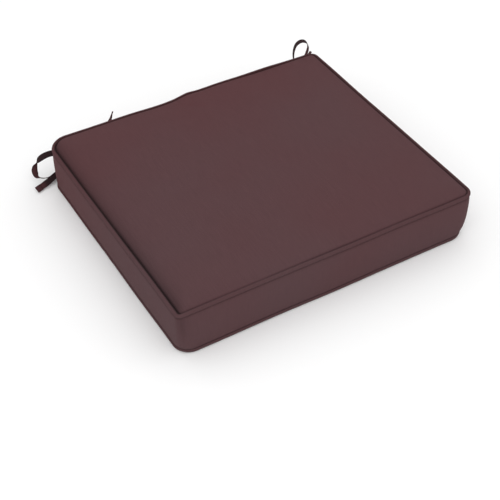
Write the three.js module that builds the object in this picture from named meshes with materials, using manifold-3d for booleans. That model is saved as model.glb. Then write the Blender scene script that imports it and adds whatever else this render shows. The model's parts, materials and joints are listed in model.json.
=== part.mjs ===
// A box-edged, piped chair seat pad: a foam block in a wadding wrap, inside a zipped cover, with a pair of
// flat ties in a bow at each back corner. Millimetres, +Z up. The origin is the middle of the underside, the
// front edge is at -Y, and +X is to the right for someone who stands in front of the pad.
import * as THREE from "three";
import { mergeVertices } from "three/addons/utils/BufferGeometryUtils.js";
import Module from "manifold-3d";

// The cover, measured over its piping.
const WIDTH = 457;
const DEPTH = 406;
const THICKNESS = 76;
const CORNER_RADIUS = 20;
const CLOTH = 1;
const GAP = 0.3;

// The piping: a bias strip folded round a filler cord, with its two edges sewn into the seam.
const PIPING_DIAMETER = 6;
const PIPING_CLOTH = 0.7;
const PIPING_SLIT = 0.4;
const SEAM_ALLOWANCE = 5;

// The filling.
const WRAP_THICKNESS = 6;
const WRAP_SPACE = 0.6;
const NOSE_CHAMFER = 14.5;

// The zip in the back band.
const JOIN_FROM_SIDE = 58.5;
const ZIP_END_TO_JOIN = 5;
const ZIP_OPENING = 7.4;
const TAPE_WIDTH = 13;
const TAPE_THICKNESS = 0.6;
const TEETH_HEIGHT = 2.5;
const TEETH_THICKNESS = 1.6;
const TEETH_SLIT = 1.4;
const SLIDER_LENGTH = 12;
const SLIDER_WIDTH = 9;
const SLIDER_PLATE = 1;
const SLIDER_FROM_ZIP_END = 19;
const ARCH_SPAN = 7.2;
const ARCH_WIRE = 1;
const ARCH_CLEARANCE = 2.2;
const PULL_LENGTH = 24;
const PULL_WIDTH = 6;
const PULL_THICKNESS = 1.2;

// The ties: flat tape, and the ring of tape that closes each bow.
const TIE_WIDTH = 9;
const TIE_THICKNESS = 1;
const TIE_STEPS = 72;
const KNOT_LENGTH = 9;
const KNOT_WALL = 1.2;
const KNOT_SLACK = 0.5;
const STRAND_REACH = 7;
const STRAND_GAP = 0.9;

// Places that follow from the sizes above.
const BAND_INSET = PIPING_DIAMETER / 2;
const BAND_BOTTOM = PIPING_DIAMETER + GAP;
const BAND_TOP = THICKNESS - BAND_BOTTOM;
const MID_HEIGHT = THICKNESS / 2;
const BAND_BACK = BAND_INSET + CLOTH;
const CORNER_X = WIDTH / 2 - CORNER_RADIUS;
const CORNER_Y = DEPTH / 2 - CORNER_RADIUS;
const BAND_JOIN_X = WIDTH / 2 - JOIN_FROM_SIDE;
const ZIP_END_X = BAND_JOIN_X - ZIP_END_TO_JOIN;
const SLIDER_X = ZIP_END_X - SLIDER_FROM_ZIP_END;
const TAPE_INSET = BAND_BACK + GAP;
const TEETH_INSET = TAPE_INSET - GAP - TEETH_THICKNESS;

const colours = {
  cover: 0x5a4244,
  piping: 0x563f41,
  tie: 0x4a3638,
  wadding: 0xf2f2ee,
  foam: 0xe6ddb8,
  cord: 0xdedad0,
  zip: 0x3c2b2c,
  metal: 0x4c3a3a,
};

const pad = new THREE.Group();

function addPiece(name, geometry, colour, roughness = 0.9, metalness = 0) {
  const material = new THREE.MeshStandardMaterial({ color: colour, roughness, metalness });
  const mesh = new THREE.Mesh(geometry, material);
  mesh.name = name;
  pad.add(mesh);
  return mesh;
}

// ---- Solids from booleans ----

const wasm = await Module();
wasm.setup();

function solidOf(geometry) {
  const bare = geometry.clone();
  bare.deleteAttribute("normal");
  bare.deleteAttribute("uv");
  const merged = mergeVertices(bare, 1e-4);
  return new wasm.Manifold(
    new wasm.Mesh({
      numProp: 3,
      vertProperties: new Float32Array(merged.attributes.position.array),
      triVerts: new Uint32Array(merged.index.array),
    }),
  );
}

function geometryOf(solid) {
  const mesh = solid.getMesh();
  const geometry = new THREE.BufferGeometry();
  geometry.setAttribute("position", new THREE.BufferAttribute(mesh.vertProperties, 3));
  geometry.setIndex(new THREE.BufferAttribute(mesh.triVerts, 1));
  geometry.computeVertexNormals();
  return geometry;
}

// ---- Shapes ----

function roundedRectangle(left, front, right, back, radius) {
  const shape = new THREE.Shape();
  const turns = [
    [right - radius, front + radius, -Math.PI / 2],
    [right - radius, back - radius, 0],
    [left + radius, back - radius, Math.PI / 2],
    [left + radius, front + radius, Math.PI],
  ];
  for (const [x, y, start] of turns) shape.absarc(x, y, radius, start, start + Math.PI / 2, false);
  shape.closePath();
  return shape;
}

function slab(shape, bottom, top) {
  const geometry = new THREE.ExtrudeGeometry(shape, {
    depth: top - bottom,
    bevelEnabled: false,
    curveSegments: 8,
  });
  return geometry.translate(0, 0, bottom);
}

function block(x0, x1, y0, y1, z0, z1) {
  const geometry = new THREE.BoxGeometry(x1 - x0, y1 - y0, z1 - z0);
  return geometry.translate((x0 + x1) / 2, (y0 + y1) / 2, (z0 + z1) / 2);
}

// A strip behind the back face: inset is the distance in from the outside of the piping.
function backStrip(x0, x1, insetOut, insetIn, z0, z1) {
  return block(x0, x1, DEPTH / 2 - insetIn, DEPTH / 2 - insetOut, z0, z1);
}

// A profile of [y, z] points, pushed through along X.
function prismAlongX(points, x0, x1) {
  const shape = new THREE.Shape(points.map(([y, z]) => new THREE.Vector2(y, z)));
  const geometry = new THREE.ExtrudeGeometry(shape, { depth: x1 - x0, bevelEnabled: false });
  // The shape's own x, y and depth become the pad's y, z and x.
  geometry.applyMatrix4(new THREE.Matrix4().set(0, 0, 1, x0, 1, 0, 0, 0, 0, 1, 0, 0, 0, 0, 0, 1));
  return geometry;
}

// Where a strip turns round the cover: a point that every inset is measured from, and the way out.
function rimStations(startX) {
  const cornerSteps = 8;
  const corners = [
    [-CORNER_X, CORNER_Y, Math.PI / 2],
    [-CORNER_X, -CORNER_Y, Math.PI],
    [CORNER_X, -CORNER_Y, 1.5 * Math.PI],
    [CORNER_X, CORNER_Y, 2 * Math.PI],
  ];
  const stations = [{ x: -startX, y: CORNER_Y, angle: Math.PI / 2 }];
  for (const [x, y, start] of corners) {
    for (let i = 0; i <= cornerSteps; i++) {
      stations.push({ x, y, angle: start + (i / cornerSteps) * (Math.PI / 2) });
    }
  }
  stations.push({ x: startX, y: CORNER_Y, angle: Math.PI / 2 });
  return stations;
}

// A strip that runs round the cover from one side of the back to the other. Each point of its section is
// [inset from the outside, height].
function rimStrip(section, startX) {
  const stations = rimStations(startX);
  const positions = [];
  for (const { x, y, angle } of stations) {
    for (const [inset, height] of section) {
      const out = CORNER_RADIUS - inset;
      positions.push(x + out * Math.cos(angle), y + out * Math.sin(angle), height);
    }
  }
  const size = section.length;
  const index = [];
  for (let s = 0; s + 1 < stations.length; s++) {
    for (let i = 0; i < size; i++) {
      const a = s * size + i;
      const b = s * size + ((i + 1) % size);
      index.push(a, b, a + size, b, b + size, a + size);
    }
  }
  const contour = section.map(([inset, height]) => new THREE.Vector2(inset, height));
  const last = (stations.length - 1) * size;
  for (const [a, b, c] of THREE.ShapeUtils.triangulateShape(contour, [])) {
    index.push(c, b, a, last + a, last + b, last + c);
  }
  const geometry = new THREE.BufferGeometry();
  geometry.setAttribute("position", new THREE.Float32BufferAttribute(positions, 3));
  geometry.setIndex(index);
  const solid = solidOf(geometry);
  if (solid.volume() < 0) geometry.setIndex(index.slice().reverse());
  return geometry;
}

// ---- The cover ----

function panel(bottom) {
  const inset = PIPING_DIAMETER - GAP;
  const x = WIDTH / 2 - inset;
  const y = DEPTH / 2 - inset;
  return slab(roundedRectangle(-x, -y, x, y, CORNER_RADIUS - inset), bottom, bottom + CLOTH);
}

// The section of a band with its seam allowances turned in.
function bandSection(bottom, top, hasBottomEdge, hasTopEdge) {
  const turnedIn = BAND_BACK + 2 + SEAM_ALLOWANCE;
  const section = [[BAND_INSET, bottom]];
  if (hasBottomEdge) section.push([turnedIn, bottom], [turnedIn, bottom + CLOTH]);
  section.push([BAND_BACK, hasBottomEdge ? bottom + CLOTH : bottom]);
  section.push([BAND_BACK, hasTopEdge ? top - CLOTH : top]);
  if (hasTopEdge) section.push([turnedIn, top - CLOTH], [turnedIn, top]);
  section.push([BAND_INSET, top]);
  return section;
}

function zipBand(bottom, top, hasBottomEdge, hasTopEdge) {
  const section = bandSection(bottom, top, hasBottomEdge, hasTopEdge);
  const profile = section.map(([inset, z]) => [DEPTH / 2 - inset, z]);
  return prismAlongX(profile, -BAND_JOIN_X + GAP, BAND_JOIN_X - GAP);
}

// The folded bias strip: most of a circle round the cord, and two layers that run into the seam.
function pipingCoverSection(centreHeight) {
  const outer = PIPING_DIAMETER / 2;
  const inner = outer - PIPING_CLOTH;
  const halfSlit = PIPING_SLIT / 2;
  const halfTail = halfSlit + PIPING_CLOTH;
  const tailEnd = PIPING_DIAMETER + SEAM_ALLOWANCE;
  const arcSteps = 12;
  const arc = (radius, halfOpening, reversed) => {
    const start = Math.asin(halfOpening / radius);
    const points = [];
    for (let i = 0; i <= arcSteps; i++) {
      const share = reversed ? 1 - i / arcSteps : i / arcSteps;
      const angle = start + share * (2 * Math.PI - 2 * start);
      points.push([outer + radius * Math.cos(angle), centreHeight + radius * Math.sin(angle)]);
    }
    return points;
  };
  return [
    ...arc(outer, halfTail, false),
    [tailEnd, centreHeight - halfTail],
    [tailEnd, centreHeight - halfSlit],
    ...arc(inner, halfSlit, true),
    [tailEnd, centreHeight + halfSlit],
    [tailEnd, centreHeight + halfTail],
  ];
}

function pipingCordSection(centreHeight) {
  const radius = PIPING_DIAMETER / 2 - PIPING_CLOTH - GAP;
  const sides = 10;
  return Array.from({ length: sides }, (_, i) => {
    const angle = (i / sides) * 2 * Math.PI;
    return [PIPING_DIAMETER / 2 + radius * Math.cos(angle), centreHeight + radius * Math.sin(angle)];
  });
}

addPiece("bottom_panel", panel(0), colours.cover);
addPiece("top_panel", panel(THICKNESS - CLOTH), colours.cover);
const wholeBand = bandSection(BAND_BOTTOM, BAND_TOP, true, true);
addPiece("front_boxing", rimStrip(wholeBand, BAND_JOIN_X), colours.cover);
for (const [edge, height] of [
  ["top", THICKNESS - PIPING_DIAMETER / 2],
  ["bottom", PIPING_DIAMETER / 2],
]) {
  addPiece(`${edge}_piping_cover`, rimStrip(pipingCoverSection(height), GAP / 2), colours.piping);
  addPiece(`${edge}_piping_cord`, rimStrip(pipingCordSection(height), GAP / 2), colours.cord);
}
const openingTop = MID_HEIGHT + ZIP_OPENING / 2;
const openingBottom = MID_HEIGHT - ZIP_OPENING / 2;
addPiece("zip_boxing_upper", zipBand(openingTop, BAND_TOP, false, true), colours.cover);
addPiece("zip_boxing_lower", zipBand(BAND_BOTTOM, openingBottom, true, false), colours.cover);

// ---- The filling ----

const fillBottom = CLOTH + GAP;
const fillTop = THICKNESS - CLOTH - GAP;
const sideInset = BAND_BACK + WRAP_SPACE;
const zipInset = TAPE_INSET + TAPE_THICKNESS + GAP + SLIDER_PLATE + 1;
const wrapFront = -DEPTH / 2 + sideInset;
const wrapBack = DEPTH / 2 - PIPING_DIAMETER - SEAM_ALLOWANCE - 1;

// A C-shaped fold of wadding, open at the back, with its front edges cut off at 45 degrees.
function wrapProfile() {
  const inside = WRAP_THICKNESS;
  const innerChamfer = NOSE_CHAMFER - inside * (2 - Math.SQRT2);
  const innerFront = wrapFront + inside;
  return [
    [wrapBack, fillBottom],
    [wrapBack, fillBottom + inside],
    [innerFront + innerChamfer, fillBottom + inside],
    [innerFront, fillBottom + inside + innerChamfer],
    [innerFront, fillTop - inside - innerChamfer],
    [innerFront + innerChamfer, fillTop - inside],
    [wrapBack, fillTop - inside],
    [wrapBack, fillTop],
    [wrapFront + NOSE_CHAMFER, fillTop],
    [wrapFront, fillTop - NOSE_CHAMFER],
    [wrapFront, fillBottom + NOSE_CHAMFER],
    [wrapFront + NOSE_CHAMFER, fillBottom],
  ];
}

// The foam fills the wrap, lies between the bands' seam allowances, and reaches the bands at the sides and
// the back.
function foamBlock() {
  const away = WRAP_THICKNESS + WRAP_SPACE;
  const front = wrapFront + away;
  const back = DEPTH / 2 - zipInset;
  const bottom = Math.max(fillBottom + away, BAND_BOTTOM + CLOTH + GAP);
  const top = THICKNESS - bottom;
  const chamfer = NOSE_CHAMFER - away * (2 - Math.SQRT2);
  const profile = [
    [front + chamfer, bottom],
    [back, bottom],
    [back, top],
    [front + chamfer, top],
    [front, top - chamfer],
    [front, bottom + chamfer],
  ];
  const x = WIDTH / 2 - sideInset;
  const plan = roundedRectangle(-x, front, x, back, CORNER_RADIUS - sideInset);
  const side = prismAlongX(profile, -x - 1, x + 1);
  return geometryOf(solidOf(slab(plan, bottom, top)).intersect(solidOf(side)));
}

addPiece("fibre_wrap", prismAlongX(wrapProfile(), -CORNER_X, CORNER_X), colours.wadding);
addPiece("foam_core", foamBlock(), colours.foam);

// ---- The zip ----

const slitTop = MID_HEIGHT + TEETH_SLIT / 2;
const slitBottom = MID_HEIGHT - TEETH_SLIT / 2;
const tapeEnd = BAND_JOIN_X - 2;

function zipTape(z0, z1) {
  return backStrip(-tapeEnd, tapeEnd, TAPE_INSET, TAPE_INSET + TAPE_THICKNESS, z0, z1);
}

function zipTeeth(z0, z1) {
  return backStrip(-ZIP_END_X, ZIP_END_X, TEETH_INSET - GAP, TAPE_INSET - GAP, z0, z1);
}

addPiece("zip_tape_upper", zipTape(slitTop, slitTop + TAPE_WIDTH), colours.zip);
addPiece("zip_tape_lower", zipTape(slitBottom - TAPE_WIDTH, slitBottom), colours.zip);
addPiece("zip_teeth_upper", zipTeeth(slitTop, slitTop + TEETH_HEIGHT), colours.zip, 0.5);
addPiece("zip_teeth_lower", zipTeeth(slitBottom - TEETH_HEIGHT, slitBottom), colours.zip, 0.5);

const plateInset = TEETH_INSET - 2 * GAP;
const archTop = plateInset - SLIDER_PLATE - ARCH_CLEARANCE;

// Two plates on either side of the teeth, joined by a web in the slit, with an arch that holds the pull.
function zipSlider() {
  const x = SLIDER_X;
  const half = SLIDER_LENGTH / 2;
  const low = MID_HEIGHT - SLIDER_WIDTH / 2;
  const high = MID_HEIGHT + SLIDER_WIDTH / 2;
  const web = TEETH_SLIT / 2 - GAP;
  const backPlate = TAPE_INSET + TAPE_THICKNESS + GAP;
  const sink = 0.1;
  const front = backStrip(x - half, x + half, plateInset - SLIDER_PLATE, plateInset, low, high);
  const rear = backStrip(x - half, x + half, backPlate, backPlate + SLIDER_PLATE, low, high);
  const webInsets = [plateInset - sink, backPlate + sink];
  const join = backStrip(x + half - 4, x + half - 1, ...webInsets, MID_HEIGHT - web, MID_HEIGHT + web);
  const archPart = (x0, x1, out, inn) =>
    backStrip(x + x0, x + x1, out, inn, MID_HEIGHT - ARCH_WIRE, MID_HEIGHT + ARCH_WIRE);
  const reach = ARCH_SPAN / 2;
  const foot = plateInset - SLIDER_PLATE + sink;
  const parts = [
    rear,
    join,
    archPart(-reach, -reach + ARCH_WIRE, archTop, foot),
    archPart(reach - ARCH_WIRE, reach, archTop, foot),
    archPart(-reach, reach, archTop - ARCH_WIRE, archTop + sink),
  ];
  return geometryOf(parts.reduce((solid, part) => solid.add(solidOf(part)), solidOf(front)));
}

// A flat pull with a window at its root: the bar beyond the window is the pin that turns under the arch.
function zipPull() {
  const pin = PULL_THICKNESS / 2;
  const outer = ARCH_SPAN / 2 + ARCH_WIRE + GAP;
  const plate = new THREE.Shape();
  const half = PULL_WIDTH / 2;
  plate.moveTo(pin, -half);
  plate.lineTo(pin, half);
  plate.lineTo(-PULL_LENGTH + half, half);
  plate.absarc(-PULL_LENGTH + half, 0, half, Math.PI / 2, 1.5 * Math.PI, false);
  plate.closePath();
  const arm = 1.2;
  const window = [
    [-pin, -half + arm],
    [-pin, half - arm],
    [-outer, half - arm],
    [-outer, -half + arm],
  ].map(([x, y]) => new THREE.Vector2(x, y));
  plate.holes.push(new THREE.Path(window));
  const geometry = new THREE.ExtrudeGeometry(plate, {
    depth: PULL_THICKNESS,
    bevelEnabled: false,
    curveSegments: 6,
  });
  return geometry.translate(0, 0, -PULL_THICKNESS / 2);
}

addPiece("zip_slider", zipSlider(), colours.metal, 0.4, 0.8);
const pull = addPiece("zip_pull_tab", zipPull(), colours.metal, 0.4, 0.8);
pull.rotation.x = Math.PI / 2;
pull.position.set(SLIDER_X, DEPTH / 2 - (archTop + ARCH_CLEARANCE / 2), MID_HEIGHT);

// ---- The ties ----

// Which way the tape's width points.
const UPRIGHT = [0, 0, 1];
const DOWN = [0, 0, -1];
const LEANING = [0, 0.61, 0.75];
const SIDEWAYS = [0.88, 0.47, 0];
const EDGE_ON = [0, 0.78, -0.62];
const TRAILING = [-0.5, 0.6, 0.54];
const STANDING = [0.32, 0.95, 0];

// A tape's route: the line down its middle, and the way its width points at each of its points.
class TapeRoute extends THREE.CatmullRomCurve3 {
  constructor(rows) {
    super(rows.map(([x, y, z]) => new THREE.Vector3(x, y, z)), false, "centripetal");
    this.facings = rows.map((row) => new THREE.Vector3(...row[3]));
  }

  facingAt(t) {
    const at = t * (this.facings.length - 1);
    const i = Math.min(Math.floor(at), this.facings.length - 2);
    return this.facings[i].clone().lerp(this.facings[i + 1], at - i);
  }

  computeFrenetFrames(segments) {
    const frames = { tangents: [], normals: [], binormals: [] };
    for (let i = 0; i <= segments; i++) {
      const t = this.getUtoTmapping(i / segments);
      const tangent = this.getTangent(t);
      const across = this.facingAt(t);
      const normal = across.addScaledVector(tangent, -across.dot(tangent)).normalize();
      frames.tangents.push(tangent);
      frames.normals.push(normal);
      frames.binormals.push(new THREE.Vector3().crossVectors(tangent, normal));
    }
    return frames;
  }
}

function tapeAlong(rows) {
  const w = TIE_WIDTH / 2;
  const t = TIE_THICKNESS / 2;
  const edge = 0.4;
  const section = new THREE.Shape(
    [
      [w, -t + edge],
      [w, t - edge],
      [w - edge, t],
      [-w + edge, t],
      [-w, t - edge],
      [-w, -t + edge],
      [-w + edge, -t],
      [w - edge, -t],
    ].map(([x, y]) => new THREE.Vector2(x, y)),
  );
  return new THREE.ExtrudeGeometry(section, {
    steps: TIE_STEPS,
    bevelEnabled: false,
    extrudePath: new TapeRoute(rows),
  });
}

// Each bow is placed from its back corner: x from the outside of the piping on that side, and y from the
// outer face of the back band. In a knot the strands lie in four layers, from the pad out.
const strandStep = TIE_THICKNESS + STRAND_GAP;
const leftKnot = { x: 40.5, y: 12, z: 28 };
const rightKnot = { x: -42.5, y: 12, z: 36 };

// The ring of tape round the strands of a bow, open along X.
function knotRing({ x, y, z }) {
  const halfStack = 1.5 * strandStep + TIE_THICKNESS / 2 + KNOT_SLACK;
  const halfWidth = TIE_WIDTH / 2 + KNOT_SLACK;
  const outerStack = halfStack + KNOT_WALL;
  const outerWidth = halfWidth + KNOT_WALL;
  const ring = roundedRectangle(-outerStack, -outerWidth, outerStack, outerWidth, 1.5);
  ring.holes.push(roundedRectangle(-halfStack, -halfWidth, halfStack, halfWidth, 0.3));
  const geometry = new THREE.ExtrudeGeometry(ring, {
    depth: KNOT_LENGTH,
    bevelEnabled: false,
    curveSegments: 3,
  });
  geometry.translate(0, 0, -KNOT_LENGTH / 2);
  geometry.applyMatrix4(new THREE.Matrix4().set(0, 0, 1, x, 1, 0, 0, y, 0, 1, 0, z, 0, 0, 0, 1));
  return geometry;
}

// A strand's straight way through a knot, in layer 1 to 4, heading 1 for +X or -1 for -X.
function throughKnot(knot, layer, heading, facing) {
  const y = knot.y + (layer - 2.5) * strandStep;
  return [-1, 0, 1].map((step) => [knot.x + heading * step * STRAND_REACH, y, knot.z, facing]);
}

// Left bow: the upper tie's loop stands out past the corner, and its tail runs behind the back. The lower
// tie passes under the knot and back through it, and its tail comes forward to the floor.
const leftUpperTie = [
  [57.3, 1.2, 32, UPRIGHT],
  [54.5, 2.6, 31.4, UPRIGHT],
  [51.3, 5.8, 29.6, UPRIGHT],
  ...throughKnot(leftKnot, 1, -1, UPRIGHT),
  [28.5, 9, 32, [0, 0.2, 0.98]],
  [22.5, 8.8, 38, LEANING],
  [15.5, 9.2, 43, LEANING],
  [7.5, 9.8, 45.3, LEANING],
  [-2.5, 11, 44.2, LEANING],
  [-11.5, 12.5, 39.5, LEANING],
  [-17.5, 13.5, 32, [0.6, 0.75, 0.3]],
  [-20.5, 13, 22.5, SIDEWAYS],
  [-19, 10.5, 13.5, [0.6, 0.7, -0.4]],
  [-12.5, 7.5, 8.6, EDGE_ON],
  [-2.5, 6.5, 7.2, EDGE_ON],
  [9.5, 9.2, 8.5, EDGE_ON],
  [19, 13.2, 13, EDGE_ON],
  [25.5, 14.8, 19.5, [0, 0.5, -0.85]],
  [29.5, 14, 24.5, [0, 0.2, -0.98]],
  ...throughKnot(leftKnot, 3, 1, DOWN),
  [51.5, 13.4, 28, DOWN],
  [56.5, 14.8, 27, DOWN],
  [63.5, 18.5, 25.5, DOWN],
  [77.5, 24, 25.5, DOWN],
  [91.5, 29, 29, DOWN],
  [103.5, 32.5, 36.5, [0, -0.4, -0.9]],
  [114, 35.5, 47, [-0.15, -0.95, -0.1]],
  [121.5, 39, 59.5, [-0.35, -0.69, 0.62]],
];
const leftLowerTie = [
  [57.5, 0.95, 14, UPRIGHT],
  [53.5, 1.8, 12.5, UPRIGHT],
  [45.5, 4.5, 9.5, UPRIGHT],
  [37.5, 8, 8, UPRIGHT],
  [30.5, 13, 8.5, UPRIGHT],
  [27.5, 19.8, 12.5, UPRIGHT],
  [27, 20.5, 19.5, UPRIGHT],
  [29.5, 18.4, 26, UPRIGHT],
  ...throughKnot(leftKnot, 4, 1, UPRIGHT),
  [52, 16, 24.5, UPRIGHT],
  [56, 17.3, 19.5, UPRIGHT],
  [61.5, 18, 14.5, UPRIGHT],
  [70.5, 17.5, 10, UPRIGHT],
  [80.5, 15.5, 8.2, UPRIGHT],
  [87.5, 11.5, 8.5, UPRIGHT],
  [88, 7, 10.5, UPRIGHT],
  [81.5, 4.6, 13.5, UPRIGHT],
  [71.5, 4.4, 17.5, UPRIGHT],
  [61.5, 6, 22, UPRIGHT],
  [53, 9.5, 26.5, UPRIGHT],
  ...throughKnot(leftKnot, 2, -1, UPRIGHT),
  [29, 11.2, 25, UPRIGHT],
  [25.5, 10, 22, UPRIGHT],
  [20, 6.5, 17.5, [-0.2, 0.4, 0.85]],
  [12.5, 2.9, 12.8, TRAILING],
  [3.5, 0.8, 9.6, TRAILING],
  [-7.5, -2.6, 7, TRAILING],
  [-18.5, -5.8, 5.2, TRAILING],
  [-28.5, -8.8, 4.2, TRAILING],
];

// Right bow: the upper tie's loop stands up past the back edge, and its tail arches back to the floor. The
// lower tie's loop hangs behind the band, and the tip of its tail looks over the corner.
const rightUpperTie = [
  [-57.3, 1.2, 40, UPRIGHT],
  [-54.9, 2.4, 39.4, UPRIGHT],
  [-52.5, 5.4, 37.6, UPRIGHT],
  ...throughKnot(rightKnot, 1, 1, UPRIGHT),
  [-31, 10, 40, [0, 0.3, 0.95]],
  [-28.5, 11.5, 48, [0.1, 0.6, 0.75]],
  [-29, 13, 58, [0.25, 0.9, 0.2]],
  [-30.2, 14, 69, STANDING],
  [-29.3, 14.5, 80, STANDING],
  [-25, 15, 89, STANDING],
  [-17, 15, 92.6, STANDING],
  [-8, 15, 89.4, STANDING],
  [-2.5, 15, 79.5, STANDING],
  [-4.5, 15, 68, STANDING],
  [-11.5, 15, 56.5, [0.4, 0.8, -0.3]],
  [-21, 14.5, 46, [0.3, 0.6, -0.7]],
  [-30, 13.8, 38.5, [0, 0.3, -0.95]],
  ...throughKnot(rightKnot, 3, -1, DOWN),
  [-53, 13.5, 38.2, DOWN],
  [-56, 16.5, 40.5, DOWN],
  [-60.5, 23, 41, DOWN],
  [-66.5, 30, 36.5, [-0.3, -0.3, -0.9]],
  [-72.5, 37, 29, [-0.6, -0.5, -0.5]],
  [-77.5, 43, 18, [-0.72, -0.62, 0]],
  [-81.5, 48, 7, [-0.72, -0.62, 0]],
];
const rightLowerTie = [
  [-57.5, 0.95, 22, UPRIGHT],
  [-53.5, 1.8, 20.5, UPRIGHT],
  [-46.5, 4.5, 18, UPRIGHT],
  [-39, 8, 16.5, UPRIGHT],
  [-32.5, 13, 17, UPRIGHT],
  [-29, 18.5, 21.5, UPRIGHT],
  [-29.5, 20, 28, UPRIGHT],
  [-31.5, 18, 34, UPRIGHT],
  ...throughKnot(rightKnot, 4, -1, UPRIGHT),
  [-53, 16, 30.5, UPRIGHT],
  [-56, 17.3, 25, UPRIGHT],
  [-60.5, 18, 21, UPRIGHT],
  [-67.5, 17.5, 15, UPRIGHT],
  [-76.5, 15.5, 11.5, UPRIGHT],
  [-84, 11.5, 11, UPRIGHT],
  [-85, 7, 13, UPRIGHT],
  [-79, 4.8, 16.5, UPRIGHT],
  [-70.5, 5, 20.5, UPRIGHT],
  [-62.5, 6.8, 25, UPRIGHT],
  [-56, 9.2, 29.5, UPRIGHT],
  ...throughKnot(rightKnot, 2, 1, UPRIGHT),
  [-30, 11.6, 34.2, UPRIGHT],
  [-22.5, 12.8, 33.8, UPRIGHT],
  [-14.5, 15, 38.5, [0, -0.3, 0.95]],
  [-6.5, 18, 46.5, [0, -0.6, 0.8]],
  [1.5, 20.8, 55, [0, -0.78, 0.62]],
  [8.3, 22, 62, [0, -0.78, 0.62]],
];

for (const [side, corner, knot, upper, lower] of [
  ["left", -WIDTH / 2, leftKnot, leftUpperTie, leftLowerTie],
  ["right", WIDTH / 2, rightKnot, rightUpperTie, rightLowerTie],
]) {
  const bow = [
    addPiece(`${side}_upper_tie`, tapeAlong(upper), colours.tie),
    addPiece(`${side}_lower_tie`, tapeAlong(lower), colours.tie),
    addPiece(`${side}_bow_knot`, knotRing(knot), colours.tie),
  ];
  for (const piece of bow) piece.position.set(corner, DEPTH / 2 - BAND_INSET, 0);
}

export default pad;
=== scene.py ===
# %% [markdown]
# # A piped chair seat pad
#
# A box-edged seat pad is a block of foam in a sewn cover: a top panel, a bottom panel and a band
# between them, with a round piping along both edges. A zip in the back band lets the foam out for
# washing, and a pair of ties at each back corner holds the pad to a chair.
#
# The lesson builds what is seen of that pad round a fixed frame of plain solids. The frame gives every
# place and size, so nothing here is fitted by eye: cloth, thread and metal are shaped on top of it.

# %% Load the frame
import json
import math

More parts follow.
